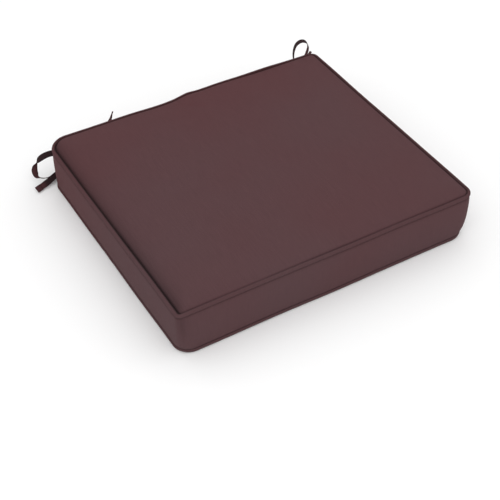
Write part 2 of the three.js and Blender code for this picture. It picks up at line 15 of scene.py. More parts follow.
import bmesh
import bpy
import numpy as np
from mathutils import Vector
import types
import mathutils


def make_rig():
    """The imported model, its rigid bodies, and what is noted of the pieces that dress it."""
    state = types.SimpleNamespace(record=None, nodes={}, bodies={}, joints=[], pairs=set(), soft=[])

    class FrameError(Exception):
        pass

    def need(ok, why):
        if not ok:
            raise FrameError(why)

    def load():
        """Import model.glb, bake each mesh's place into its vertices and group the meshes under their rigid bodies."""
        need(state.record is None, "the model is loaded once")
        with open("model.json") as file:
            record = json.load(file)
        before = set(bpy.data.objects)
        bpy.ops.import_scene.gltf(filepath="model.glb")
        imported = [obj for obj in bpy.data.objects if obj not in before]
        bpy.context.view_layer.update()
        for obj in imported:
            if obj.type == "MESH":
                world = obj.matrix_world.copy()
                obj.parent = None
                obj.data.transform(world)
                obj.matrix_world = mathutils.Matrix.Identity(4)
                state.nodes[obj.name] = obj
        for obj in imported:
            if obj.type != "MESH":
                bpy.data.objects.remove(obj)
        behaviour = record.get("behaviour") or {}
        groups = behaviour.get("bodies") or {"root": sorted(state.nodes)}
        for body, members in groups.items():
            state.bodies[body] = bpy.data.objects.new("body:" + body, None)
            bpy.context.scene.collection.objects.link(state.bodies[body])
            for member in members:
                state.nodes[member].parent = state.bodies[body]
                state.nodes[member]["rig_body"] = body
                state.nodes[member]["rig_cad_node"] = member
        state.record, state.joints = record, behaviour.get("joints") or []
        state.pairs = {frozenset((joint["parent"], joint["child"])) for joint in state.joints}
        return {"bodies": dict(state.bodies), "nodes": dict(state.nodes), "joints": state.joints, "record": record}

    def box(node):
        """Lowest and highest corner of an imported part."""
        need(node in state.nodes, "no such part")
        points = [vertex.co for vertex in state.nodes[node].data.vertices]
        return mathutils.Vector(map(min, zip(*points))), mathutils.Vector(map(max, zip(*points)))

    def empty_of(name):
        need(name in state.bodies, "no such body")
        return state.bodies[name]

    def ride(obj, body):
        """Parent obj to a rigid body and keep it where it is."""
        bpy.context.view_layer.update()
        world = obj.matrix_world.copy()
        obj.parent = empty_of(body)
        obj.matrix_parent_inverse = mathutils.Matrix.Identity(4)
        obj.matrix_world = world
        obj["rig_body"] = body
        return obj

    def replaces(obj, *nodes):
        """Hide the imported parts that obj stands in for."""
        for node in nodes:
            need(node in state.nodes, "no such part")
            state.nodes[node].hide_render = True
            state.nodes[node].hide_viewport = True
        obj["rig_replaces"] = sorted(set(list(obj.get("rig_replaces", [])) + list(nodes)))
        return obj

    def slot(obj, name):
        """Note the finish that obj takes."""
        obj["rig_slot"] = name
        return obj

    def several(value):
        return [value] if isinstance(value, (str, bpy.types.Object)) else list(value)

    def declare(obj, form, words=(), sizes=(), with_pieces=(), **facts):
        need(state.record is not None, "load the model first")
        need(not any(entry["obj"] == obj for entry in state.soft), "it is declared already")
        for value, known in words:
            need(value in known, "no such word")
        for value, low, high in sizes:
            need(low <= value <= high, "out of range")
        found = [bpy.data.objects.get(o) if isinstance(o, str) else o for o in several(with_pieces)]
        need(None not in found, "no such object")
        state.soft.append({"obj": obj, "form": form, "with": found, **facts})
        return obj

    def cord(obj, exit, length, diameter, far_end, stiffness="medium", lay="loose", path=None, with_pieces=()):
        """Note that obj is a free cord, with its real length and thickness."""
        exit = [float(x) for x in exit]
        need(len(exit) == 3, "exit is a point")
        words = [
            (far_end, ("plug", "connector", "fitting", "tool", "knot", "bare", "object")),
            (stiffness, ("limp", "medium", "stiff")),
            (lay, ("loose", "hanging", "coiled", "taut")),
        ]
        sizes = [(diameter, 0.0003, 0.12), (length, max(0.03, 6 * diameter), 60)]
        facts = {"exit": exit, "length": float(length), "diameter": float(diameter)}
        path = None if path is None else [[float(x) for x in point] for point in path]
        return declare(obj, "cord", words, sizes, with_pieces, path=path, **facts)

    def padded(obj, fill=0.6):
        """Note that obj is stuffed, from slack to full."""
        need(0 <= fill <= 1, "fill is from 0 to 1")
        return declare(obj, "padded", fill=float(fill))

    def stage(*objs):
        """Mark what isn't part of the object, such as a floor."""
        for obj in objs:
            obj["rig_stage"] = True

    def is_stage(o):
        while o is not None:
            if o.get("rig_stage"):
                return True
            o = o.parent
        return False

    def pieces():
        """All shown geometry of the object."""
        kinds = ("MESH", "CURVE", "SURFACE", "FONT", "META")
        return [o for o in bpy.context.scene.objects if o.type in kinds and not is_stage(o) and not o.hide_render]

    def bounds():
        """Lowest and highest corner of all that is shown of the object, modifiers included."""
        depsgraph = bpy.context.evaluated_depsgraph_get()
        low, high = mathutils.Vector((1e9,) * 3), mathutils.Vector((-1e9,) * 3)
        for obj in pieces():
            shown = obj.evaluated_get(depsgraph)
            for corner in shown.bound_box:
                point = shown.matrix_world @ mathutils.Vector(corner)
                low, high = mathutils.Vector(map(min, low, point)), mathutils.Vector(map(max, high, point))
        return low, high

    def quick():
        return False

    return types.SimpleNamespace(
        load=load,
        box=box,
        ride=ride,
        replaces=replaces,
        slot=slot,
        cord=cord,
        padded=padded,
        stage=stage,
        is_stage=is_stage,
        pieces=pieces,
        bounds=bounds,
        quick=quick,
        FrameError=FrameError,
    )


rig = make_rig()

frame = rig.load()
cad_low, cad_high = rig.bounds()
print("frame:", len(frame["nodes"]), "nodes in", len(frame["bodies"]), "bodies")

# %% [markdown]
# ## The camera
#
# A long lens from well back keeps the pad's sides nearly parallel, as in a catalogue picture. The
# camera could be placed by its own coordinates, but a direction and a distance from a point on the pad
# are easier to change, so it is placed that way: from the front left, looking down by about 43 degrees.

# %% Camera
LOOK_AT = Vector((-0.0727, -0.1094, 0.038))
CAMERA_AZIMUTH = math.radians(-30.58)
CAMERA_ELEVATION = math.radians(42.91)
CAMERA_DISTANCE = 1.521
LENS_MM = 81.98


def add_object(name, data):
    """A new object in the scene that holds this mesh, lamp or camera."""
    thing = bpy.data.objects.new(name, data)
    bpy.context.scene.collection.objects.link(thing)
    return thing


def place_camera():
    flat = math.cos(CAMERA_ELEVATION)
    side, ahead = math.sin(CAMERA_AZIMUTH) * flat, math.cos(CAMERA_AZIMUTH) * flat
    back = Vector((side, -ahead, math.sin(CAMERA_ELEVATION)))
    data = bpy.data.cameras.new("studio_camera")
    data.lens = LENS_MM
    camera = add_object("studio_camera", data)
    camera.location = LOOK_AT + back * CAMERA_DISTANCE
    camera.rotation_euler = (-back).to_track_quat("-Z", "Y").to_euler()
    bpy.context.scene.camera = camera
    return camera


camera = place_camera()
print("camera:", [round(x, 3) for x in camera.location])

# %% [markdown]
# ## Helpers for meshes
#
# Every cloth piece here is a grid of points in rows and columns, worked out with numpy and handed to
# Blender as a mesh. Modelling by hand or with modifiers would do for one pad, but a grid lets each
# piece take its seam from the same ring of points as its neighbour, so that seams meet everywhere. Each
# mesh also carries two things for its cloth: a "cloth" UV map in metres, which the weave follows, and a
# value from 0 to 1 of painted shade, which is high where the cloth runs into a seam and darkens it there.

# %% Mesh helpers
def new_piece(name, points, faces, cloth=None, painted_shade=None):
    mesh = bpy.data.meshes.new(name)
    mesh.from_pydata(np.asarray(points, float).tolist(), [], [list(map(int, f)) for f in faces])
    mesh.polygons.foreach_set("use_smooth", [True] * len(mesh.polygons))
    if cloth is not None:
        layer = mesh.uv_layers.new(name="cloth")
        corner = np.zeros(len(mesh.loops), np.int32)
        mesh.loops.foreach_get("vertex_index", corner)
        layer.data.foreach_set("uv", np.asarray(cloth, np.float32)[corner].ravel())
    # Painted shade: one value per point, high where the cloth runs into a seam, which darkens it there.
    mark(mesh, "painted_shade", np.zeros(len(points)) if painted_shade is None else painted_shade)
    mesh.update()
    return add_object(name, mesh)


def mark(mesh, name, values):
    """One number per point, which a material can read."""
    attribute = mesh.attributes.new(name, "FLOAT", "POINT")
    attribute.data.foreach_set("value", np.asarray(values, np.float32))


def stand_in(piece, material, slot, *nodes):
    """The piece gets its material and slot, moves with the pad, and takes the place of these nodes."""
    piece.data.materials.append(material)
    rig.ride(piece, "root")
    if nodes:
        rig.replaces(piece, *nodes)
    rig.slot(piece, slot)
    return piece


def grid_faces(rows, columns, closed_rows=False, closed_columns=False, flip=False):
    """Quads of a grid whose point (r, c) is number r * columns + c."""
    faces = []
    for r in range(rows if closed_rows else rows - 1):
        for c in range(columns if closed_columns else columns - 1):
            r1, c1 = (r + 1) % rows, (c + 1) % columns
            quad = [r * columns + c, r * columns + c1, r1 * columns + c1, r1 * columns + c]
            faces.append(quad[::-1] if flip else quad)
    return faces


print("helpers ready: a grid of 3 x 3 points has", len(grid_faces(3, 3)), "faces")

# %% [markdown]
# ## The ties, which are the pad's cords
#
# A tie is a narrow strip of the cover's own cloth, folded and stitched flat, about 9 mm wide. It bends
# easily across its face and hardly at all across its width, so a round cord with a flat section would
# look wrong. Here each tie has a route, down its middle, in stretches whose width faces one way. The
# points are in millimetres from the back corner of the pad: x from the outside of the piping, y from
# the back band, z from the seat.

# %% Tie routes
TIE_WIDTH = 0.009
TIE_THICKNESS = 0.001
KNOT_REACH = 0.007
STRAND_STEP = 0.0019

UPRIGHT = (0, 0, 1)
DOWN = (0, 0, -1)
LEANING = (0, 0.61, 0.75)
SIDEWAYS = (0.99, -0.1, 0)
EDGE_ON = (0, 0.78, -0.62)
TRAILING = (-0.5, 0.6, 0.54)
STANDING = (0.32, 0.95, 0)

LEFT_KNOT = (0.0405, 0.012, 0.028)
RIGHT_KNOT = (-0.0425, 0.012, 0.036)


def stretch(facing, *points):
    """Points of a route, with the way that the width faces there."""
    return [(x / 1000, y / 1000, z / 1000, facing) for x, y, z in points]


def through_knot(knot, layer, heading, facing):
    """A strand's straight way through a knot, in layer 1 to 4 from the pad out."""
    x, y, z = knot
    y += (layer - 2.5) * STRAND_STEP
    return [(x + heading * step * KNOT_REACH, y, z, facing) for step in (-1, 0, 1)]


LEFT_UPPER_ROUTE = [
    *stretch(UPRIGHT, (57.3, 1.2, 32), (54.5, 2.6, 31.4), (51.3, 5.8, 29.6)),
    *through_knot(LEFT_KNOT, 1, -1, UPRIGHT),
    *stretch((0, 0.2, 0.98), (28.5, 9, 32)),
    *stretch(LEANING, (22.5, 8.8, 38), (15.5, 9.2, 43), (7.5, 9.8, 45.3), (-2.5, 11, 44.2)),
    *stretch((0.5, 0.6, 0.62), (-11.5, 12.5, 39.5)),
    *stretch((0.85, 0.3, 0.35), (-17.5, 13.5, 32)),
    *stretch(SIDEWAYS, (-20.5, 13, 22.5)),
    *stretch((0.85, 0.2, -0.45), (-19, 10.5, 13.5)),
    *stretch(EDGE_ON, (-12.5, 7.5, 8.6), (-2.5, 6.5, 7.2), (9.5, 9.2, 8.5), (19, 13.2, 13)),
    *stretch((0, 0.5, -0.85), (25.5, 14.8, 19.5)),
    *stretch((0, 0.2, -0.98), (29.5, 14, 24.5)),
    *through_knot(LEFT_KNOT, 3, 1, DOWN),
    *stretch(
        DOWN, (51.5, 13.4, 28), (56.5, 14.8, 27), (63.5, 18.5, 25.5), (77.5, 24, 25.5), (91.5, 29, 29),
    ),
    *stretch((0, -0.4, -0.9), (103.5, 32.5, 36.5)),
    *stretch((-0.15, -0.95, -0.1), (114, 35.5, 47)),
    *stretch((-0.35, -0.69, 0.62), (121.5, 39, 59.5)),
]
LEFT_LOWER_ROUTE = [
    *stretch(
        UPRIGHT, (57.5, 0.95, 14), (53.5, 1.8, 12.5), (45.5, 4.5, 9.5), (37.5, 8, 8), (30.5, 13, 8.5),
        (27.5, 19.8, 12.5), (27, 20.5, 19.5), (29.5, 18.4, 26),
    ),
    *through_knot(LEFT_KNOT, 4, 1, UPRIGHT),
    *stretch(
        UPRIGHT, (52, 16, 24.5), (56, 17.3, 19.5), (61.5, 18, 14.5), (70.5, 17.5, 10), (80.5, 15.5, 8.2),
        (87.5, 11.5, 8.5), (88, 7, 10.5), (81.5, 4.6, 13.5), (71.5, 4.4, 17.5), (61.5, 6, 22),
        (53, 9.5, 26.5),
    ),
    *through_knot(LEFT_KNOT, 2, -1, UPRIGHT),
    *stretch(UPRIGHT, (29, 11.2, 25), (25.5, 10, 22)),
    *stretch((-0.2, 0.4, 0.85), (20, 6.5, 17.5)),
    *stretch(
        TRAILING, (12.5, 2.9, 12.8), (3.5, 0.8, 9.6), (-7.5, -2.6, 7), (-18.5, -5.8, 5.2),
        (-28.5, -8.8, 4.2),
    ),
]
RIGHT_UPPER_ROUTE = [
    *stretch(UPRIGHT, (-57.3, 1.2, 40), (-54.9, 2.4, 39.4), (-52.5, 5.4, 37.6)),
    *through_knot(RIGHT_KNOT, 1, 1, UPRIGHT),
    *stretch((0, 0.3, 0.95), (-31, 10, 40)),
    *stretch((0.1, 0.6, 0.75), (-28.5, 11.5, 48)),
    *stretch((0.25, 0.9, 0.2), (-29, 13, 58)),
    *stretch(
        STANDING, (-30.2, 14, 69), (-29.3, 14.5, 80), (-25, 15, 89), (-17, 15, 92.6), (-8, 15, 89.4),
        (-2.5, 15, 79.5), (-4.5, 15, 68),
    ),
    *stretch((0.4, 0.8, -0.3), (-11.5, 15, 56.5)),
    *stretch((0.3, 0.6, -0.7), (-21, 14.5, 46)),
    *stretch((0, 0.3, -0.95), (-30, 13.8, 38.5)),
    *through_knot(RIGHT_KNOT, 3, -1, DOWN),
    *stretch(DOWN, (-53, 13.5, 38.2), (-56, 16.5, 40.5), (-60.5, 23, 41)),
    *stretch((-0.3, -0.3, -0.9), (-66.5, 30, 36.5)),
    *stretch((-0.6, -0.5, -0.5), (-72.5, 37, 29)),
    *stretch((-0.72, -0.62, 0), (-77.5, 43, 18), (-81.5, 48, 7)),
]
RIGHT_LOWER_ROUTE = [
    *stretch(
        UPRIGHT, (-57.5, 0.95, 22), (-53.5, 1.8, 20.5), (-46.5, 4.5, 18), (-39, 8, 16.5), (-32.5, 13, 17),
        (-29, 18.5, 21.5), (-29.5, 20, 28), (-31.5, 18, 34),
    ),
    *through_knot(RIGHT_KNOT, 4, -1, UPRIGHT),
    *stretch(
        UPRIGHT, (-53, 16, 30.5), (-56, 17.3, 25), (-60.5, 18, 21), (-67.5, 17.5, 15), (-76.5, 15.5, 11.5),
        (-84, 11.5, 11), (-85, 7, 13), (-79, 4.8, 16.5), (-70.5, 5, 20.5), (-62.5, 6.8, 25),
        (-56, 9.2, 29.5),
    ),
    *through_knot(RIGHT_KNOT, 2, 1, UPRIGHT),
    *stretch(UPRIGHT, (-30, 11.6, 34.2), (-22.5, 12.8, 33.8)),
    *stretch((0, -0.3, 0.95), (-14.5, 15, 38.5)),
    *stretch((0, -0.6, 0.8), (-6.5, 18, 46.5)),
    *stretch((0, -0.78, 0.62), (1.5, 20.8, 55), (8.3, 22, 62)),
]

band_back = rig.box("zip_boxing_upper")[1].y
pad_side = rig.box("top_piping_cover")[1].x
TIES = {
    "left_upper_tie": (-1, LEFT_UPPER_ROUTE),
    "left_lower_tie": (-1, LEFT_LOWER_ROUTE),
    "right_upper_tie": (1, RIGHT_UPPER_ROUTE),
    "right_lower_tie": (1, RIGHT_LOWER_ROUTE),
}
print("ties:", len(TIES), "placed from x", round(pad_side, 4), "y", round(band_back, 4))

# %% [markdown]
# A smooth line through the points could be a Bezier with handles, but a Catmull-Rom spline needs none:
# it goes through each point, and the "centripetal" kind never makes loops or cusps between two close
# points. The line is then walked in equal steps, so that the stitches along it are evenly spaced.

# %% Walk along a tie
SPLINE_STEPS = 24
WALK_STEP = 0.0012


def unit(vectors):
    return vectors / np.linalg.norm(vectors, axis=-1, keepdims=True)


def distance_along(line):
    """How far along a line each of its points lies."""
    return np.concatenate([[0], np.cumsum(np.linalg.norm(np.diff(line, axis=0), axis=1))])


def read_between(at, known, values):
    """Rows of three numbers, read off between the rows that are known."""
    return np.column_stack([np.interp(at, known, values[:, k]) for k in range(3)])


def spline_piece(p0, p1, p2, p3):
    d01, d12, d23 = (max(np.linalg.norm(b - a), 1e-6) ** 0.5 for a, b in ((p0, p1), (p1, p2), (p2, p3)))
    start = (p1 - p0) / d01 - (p2 - p0) / (d01 + d12) + (p2 - p1) / d12
    end = (p2 - p1) / d12 - (p3 - p1) / (d12 + d23) + (p3 - p2) / d23
    start, end = start * d12, end * d12
    t = np.linspace(0, 1, SPLINE_STEPS, endpoint=False)[:, None]
    bend = -3 * p1 + 3 * p2 - 2 * start - end
    return p1 + start * t + bend * t**2 + (2 * p1 - 2 * p2 + start + end) * t**3


def walk_tie(side, rows):
    """Equal steps along a tie: distance and place, and which way its width and its face look."""
    points = np.array([row[:3] for row in rows], float) + [side * pad_side, band_back, 0]
    facings = np.array([row[3] for row in rows], float)
    ends = [2 * points[0] - points[1], *points, 2 * points[-1] - points[-2]]
    line = [spline_piece(*ends[i : i + 4]) for i in range(len(points) - 1)]
    line = np.vstack([*line, points[-1:]])
    at_row = np.append(np.arange(len(line) - 1) / SPLINE_STEPS, len(points) - 1)
    run = distance_along(line)
    along = np.linspace(0, run[-1], int(run[-1] / WALK_STEP) + 1)
    centre = read_between(along, run, line)
    facing = read_between(np.interp(along, run, at_row), np.arange(len(points)), facings)
    heading = unit(np.gradient(centre, axis=0))
    facing = unit(facing - (facing * heading).sum(1)[:, None] * heading)
    return along, centre, facing, np.cross(heading, facing)


for name, (side, rows) in TIES.items():
    print(name, "length", round(walk_tie(side, rows)[0][-1], 4), "m")

# %% [markdown]
# ## Node groups for cloth
#
# Weave, dye and seam shade are wanted by several cloths, so each is a node group, built once and given
# its own numbers in each material. A weave could be a picture of cloth laid over the pad, but a picture
# has one size and repeats; a few sums on the "cloth" map give threads that are sharp at any distance.
# The groups put out masks and heights only, and the shader that uses them stays in the material.

# %% Helpers for nodes
def put(tree, kind, *links, **settings):
    """A node with its settings, and its inputs in order: a socket is linked, a number set, None left."""
    node = tree.nodes.new(kind)
    for key, value in settings.items():
        setattr(node, key, value)
    for socket, value in zip(node.inputs, links):
        link_or_set(tree, socket, value)
    return node


def maths(tree, operation, *links):
    return put(tree, "ShaderNodeMath", *links, operation=operation).outputs[0]


def ridges(tree, value):
    """A row of rounded ridges, one for each whole number."""
    return maths(tree, "ABSOLUTE", maths(tree, "SINE", maths(tree, "MULTIPLY", value, math.pi)))


def link_or_set(tree, socket, value):
    if isinstance(value, bpy.types.NodeSocket):
        tree.links.new(value, socket)
    elif value is not None:
        socket.default_value = value


def blend_colours(tree, share, one, other, blend_type="MIX"):
    node = put(tree, "ShaderNodeMix", data_type="RGBA", blend_type=blend_type)
    for name, value in (("Factor_Float", share), ("A_Color", one), ("B_Color", other)):
        link_or_set(tree, next(s for s in node.inputs if s.identifier == name), value)
    return next(s for s in node.outputs if s.identifier == "Result_Color")


def new_group(name, inputs, outputs):
    """A node group, its input sockets by name, and a function that sets what an output puts out."""
    group = bpy.data.node_groups.new(name, "ShaderNodeTree")
    for title, kind, value in inputs:
        socket = group.interface.new_socket(name=title, in_out="INPUT", socket_type=kind)
        if value is not None:
            socket.default_value = value
    for title, kind in outputs:
        group.interface.new_socket(name=title, in_out="OUTPUT", socket_type=kind)
    entry = group.nodes.new("NodeGroupInput")
    leave = group.nodes.new("NodeGroupOutput")
    get = {socket.name: socket for socket in entry.outputs}
    return group, get, lambda title, value: group.links.new(value, leave.inputs[title])


FLOAT, VECTOR = "NodeSocketFloat", "NodeSocketVector"
print("groups will have sockets of two kinds:", FLOAT, "and", VECTOR)


# %% [markdown]
# ### Plain weave
#
# Plain-woven polyester is the simplest cloth there is: each thread goes over one and under the next. In
# each small square of the map one thread is on top, warp and weft by turns, and its back is a rounded
# ridge. The group gives the ridge's height, and which thread is on top, so that the two can have
# slightly different colours.

# %% Weave group
def weave_group():
    group, get, give = new_group(
        "Plain weave",
        [("Cloth", VECTOR, None), ("Thread pitch", FLOAT, 0.0006), ("Turn", FLOAT, 0.0)],
        [("Warp on top", FLOAT), ("Height", FLOAT), ("Slub", FLOAT)],
    )
    turned = put(group, "ShaderNodeVectorRotate", get["Cloth"], rotation_type="Z_AXIS")
    group.links.new(get["Turn"], turned.inputs["Angle"])
    scale = maths(group, "DIVIDE", 1.0, get["Thread pitch"])
    threads = put(group, "ShaderNodeVectorMath", turned.outputs[0], operation="SCALE")
    group.links.new(scale, threads.inputs["Scale"])
    apart = put(group, "ShaderNodeSeparateXYZ", threads.outputs[0])
    across, along = apart.outputs[0], apart.outputs[1]
    number = maths(group, "ADD", maths(group, "FLOOR", across), maths(group, "FLOOR", along))
    give("Warp on top", maths(group, "PINGPONG", number, 1.0))
    both = maths(group, "MULTIPLY", ridges(group, across), ridges(group, along))
    give("Height", maths(group, "POWER", both, 0.5))
    uneven = put(group, "ShaderNodeTexNoise", None, None, 0.35, 2.0)
    stretched = put(group, "ShaderNodeVectorMath", threads.outputs[0], (1.0, 0.06, 1.0), operation="MULTIPLY")
    group.links.new(stretched.outputs[0], uneven.inputs["Vector"])
    give("Slub", uneven.outputs["Fac"])
    return group


weave = weave_group()
print("group:", weave.name, len(weave.nodes), "nodes")

# %% [markdown]
# ### Dye and seam shade
#
# A dyed cloth is never quite one colour: it drifts between a redder and a greyer brown over a hand's
# breadth. And where cloth runs down into a seam it lies in its own shade, and that shade is painted into
# its colour, darker than the lamp alone would make it. The first is a slow noise; the second reads the
# painted shade value of the mesh.

# %% Dye and seam groups
def dye_group():
    group, get, give = new_group(
        "Dye drift",
        [("Place", VECTOR, None), ("Patch size", FLOAT, 0.1)],
        [("Drift", FLOAT)],
    )
    fineness = maths(group, "DIVIDE", 1.0, get["Patch size"])
    noise = put(group, "ShaderNodeTexNoise", get["Place"], None, fineness, 2.0, 0.5)
    soft = put(group, "ShaderNodeMapRange", noise.outputs["Fac"], 0.32, 0.68, 0.0, 1.0)
    give("Drift", soft.outputs["Result"])
    return group


def seam_group():
    group, get, give = new_group(
        "Seam shade",
        [("Crease", FLOAT, 0.0), ("Depth", FLOAT, 0.6)],
        [("Shade", FLOAT), ("Open", FLOAT)],
    )
    # Painted shade: how much darker the cloth is made where it runs into a seam.
    shade = maths(group, "MULTIPLY", maths(group, "POWER", get["Crease"], 1.3), get["Depth"])
    give("Shade", shade)
    give("Open", maths(group, "SUBTRACT", 1.0, shade))
    return group


dye, seam = dye_group(), seam_group()
print("groups:", dye.name, "and", seam.name)

# %% [markdown]
# ### The cloths
#
# Cover, piping and ties are one bolt of cloth, cut in three ways: square to the weave for the panels,
# at 45 degrees for the piping, and along it for the ties. So one function makes all three materials,
# and each call says how the weave is turned and which two tones it takes. The piping's and the ties'
# tones are the cover's painted darker, as painted shade, and the ties also get a painted shaded face. A
# little sheen stands for the fibres that stick out of the threads and catch the light at a low angle.

# %% Cloth materials
def use_group(tree, group, **links):
    node = tree.nodes.new("ShaderNodeGroup")
    node.node_tree = group
    for title, value in links.items():
        link_or_set(tree, node.inputs[title.replace("_", " ")], value)
    return node


def new_material(name, specular=0.5):
    """A material, its node tree, its shader, and a socket that gives the place on the piece."""
    material = bpy.data.materials.new(name)
    material.use_nodes = True
    tree = material.node_tree
    shader = tree.nodes["Principled BSDF"]
    shader.inputs["Specular IOR Level"].default_value = specular
    return material, tree, shader, put(tree, "ShaderNodeTexCoord").outputs["Object"]


def link_colour(tree, shader, colour, roughness):
    tree.links.new(colour, shader.inputs["Base Color"])
    tree.links.new(roughness, shader.inputs["Roughness"])


def link_bump(tree, shader, height, strength, distance):
    bump = put(tree, "ShaderNodeBump")
    bump.inputs["Strength"].default_value = strength
    bump.inputs["Distance"].default_value = distance
    tree.links.new(height, bump.inputs["Height"])
    tree.links.new(bump.outputs["Normal"], shader.inputs["Normal"])


def grey_of(tree, value):
    return put(tree, "ShaderNodeCombineColor", value, value, value).outputs[0]


def shade_of(colour, factor):
    return (*(c * factor for c in colour[:3]), 1.0)


def cloth_material(name, tones, turn, seam_depth, shaded_side=None):
    """Cover cloth in two shades, one redder and one greyer, with the weave turned by an angle."""
    material, tree, shader, place = new_material(name, specular=0.06)
    cloth = put(tree, "ShaderNodeAttribute", attribute_name="cloth").outputs["Vector"]
    # Painted shade where the cloth runs into a seam, read from the mesh.
    painted_shade = put(tree, "ShaderNodeAttribute", attribute_name="painted_shade").outputs["Fac"]
    threads = use_group(tree, weave, Cloth=cloth, Thread_pitch=THREAD_PITCH, Turn=turn)
    patches = use_group(tree, dye, Place=place, Patch_size=0.25).outputs["Drift"]
    from_front = put(tree, "ShaderNodeSeparateXYZ", place).outputs[1]
    redder_behind = maths(tree, "MULTIPLY_ADD", from_front, 1.2, 0.25)
    half_patches = maths(tree, "MULTIPLY", patches, 0.5)
    drift = put(tree, "ShaderNodeMath", half_patches, redder_behind, use_clamp=True).outputs[0]
    shade = use_group(tree, seam, Crease=painted_shade, Depth=seam_depth)
    base = blend_colours(tree, drift, *tones)
    # Painted shade: the ties' shaded faces take a darker colour.
    if shaded_side:
        side = put(tree, "ShaderNodeAttribute", attribute_name="shaded_side").outputs["Fac"]
        base = blend_colours(tree, side, base, shaded_side)
    tone = shade.outputs["Open"]
    for title, (share, least) in THREAD_TONES.items():
        of_thread = maths(tree, "MULTIPLY_ADD", threads.outputs[title], share, least)
        tone = maths(tree, "MULTIPLY", tone, of_thread)
    colour = blend_colours(tree, 1.0, base, grey_of(tree, tone), "MULTIPLY")
    link_colour(tree, shader, colour, maths(tree, "MULTIPLY_ADD", threads.outputs["Slub"], 0.12, 0.82))
    link_bump(tree, shader, threads.outputs["Height"], 0.45, THREAD_PITCH * 0.35)
    shader.inputs["Sheen Weight"].default_value = 0.02
    shader.inputs["Sheen Roughness"].default_value = 0.45
    return material


RED_BROWN = (0.0945, 0.0385, 0.0415, 1.0)
GREY_BROWN = (0.0900, 0.0500, 0.0540, 1.0)
# The colour painted on a tie's face where it lies in shade: painted shade, a darker copy of the cloth.
TIE_SHADED_SIDE = shade_of(GREY_BROWN, 0.34)
THREAD_PITCH = 0.0006
# For each thing that the weave gives: its share in the tone, and the least that it leaves of it.
# The height's share is painted shade, darker in the dips between the threads.
THREAD_TONES = {"Warp on top": (0.16, 0.92), "Slub": (0.24, 0.88), "Height": (0.22, 0.84)}
BIAS = math.radians(45)
COVER_TONES = (GREY_BROWN, RED_BROWN)
# Piping and ties are the cover's cloth; their colours are painted darker, as painted shade.
PIPING_SHADED_TONES = (shade_of(GREY_BROWN, 0.92), shade_of(RED_BROWN, 0.88))
TIE_SHADED_TONES = (shade_of(GREY_BROWN, 0.85), shade_of(RED_BROWN, 0.8))
cover_cloth = cloth_material("cover_cloth", COVER_TONES, 0.0, 0.72)
piping_cloth = cloth_material("piping_cloth", PIPING_SHADED_TONES, BIAS, 0.72)
tie_cloth = cloth_material("tie_cloth", TIE_SHADED_TONES, 0.0, 0.6, TIE_SHADED_SIDE)
print("cloths:", cover_cloth.name, piping_cloth.name, tie_cloth.name)

# %% [markdown]
# ## Tying the bows
#
# Each tie is a flat tube round its route: two faces of cloth, pressed together, with a row of stitches
# near each edge that draws the faces in, and a hem at the loose end where the strip is folded back and
# is twice as thick. The tie is declared as a cord, with the length that its route has.

# %% Tie pieces
STITCH_ROW = 0.76
HALF_PROFILE = [0.3, 0.62, STITCH_ROW, 0.84, 0.93, 1]
TIE_PROFILE = np.array([-x for x in HALF_PROFILE[::-1]] + [0] + HALF_PROFILE)
HEM_LENGTH = 0.0085
HEM_WIDER, HEM_THICKER = 0.07, 0.6
DRAWN_IN, DRAWN_WIDTH = 0.42, 0.07
CURL = 0.00025
WIDTH_VARIES = 0.04
# Painted shade along a tie's stitch rows and at its hem line: how dark, how wide, and the hem line's width.
STITCH_SHADE, STITCH_SHADE_WIDTH, HEM_LINE_WIDTH = 0.7, 0.09, 0.0007


def smooth_noise(points, scale, seed):
    """A soft random value from -1 to 1 for each point, the same on every run."""
    random = np.random.default_rng(seed)
    waves = 6
    total = np.zeros(len(points))
    for _ in range(waves):
        direction = random.normal(size=3)
        direction *= random.uniform(0.6, 1.4) / (scale * np.linalg.norm(direction))
        total += np.sin(points @ direction * 2 * math.pi + random.uniform(0, 2 * math.pi))
    return total / waves


def bell(x, width):
    """1 where x is 0, and almost nothing at twice the width."""
    return np.exp(-((x / width) ** 2))


def soft_step(x, start, end):
    t = np.clip((x - start) / (end - start), 0, 1)
    return t * t * (3 - 2 * t)


def cloth_map(across, along):
    """The flat map of a grid of cloth, one place for each point."""
    return np.stack(np.broadcast_arrays(across, along), axis=2).reshape(-1, 2)


def tie_section(seed, side, rows):
    """The points of a tie, row by row round its section, with the distance along it and its middle line."""
    along, centre, across, face = walk_tie(side, rows)
    hem = soft_step(along, along[-1] - HEM_LENGTH - 0.001, along[-1] - HEM_LENGTH)
    half_width = TIE_WIDTH / 2 * (1 + WIDTH_VARIES * smooth_noise(centre, 0.03, seed) + HEM_WIDER * hem)
    pressed = 1 - DRAWN_IN * bell(np.abs(TIE_PROFILE) - STITCH_ROW, DRAWN_WIDTH)
    edge = np.sqrt(np.clip(1 - np.abs(TIE_PROFILE) ** 12, 0.03, 1))
    half_thick = TIE_THICKNESS / 2 * 1.1 * np.outer(1 + HEM_THICKER * hem, pressed * edge)
    curl = CURL * smooth_noise(centre + 5, 0.05, seed + 1)
    middle = centre[:, None] + across[:, None] * (TIE_PROFILE[None, :, None] * half_width[:, None, None])
    middle += face[:, None] * (curl[:, None, None] * (TIE_PROFILE[None, :, None] ** 2 - 0.5))
    lift = face[:, None] * half_thick[:, :, None]
    return np.concatenate([middle + lift, (middle - lift)[:, -2:0:-1]], axis=1), along, centre


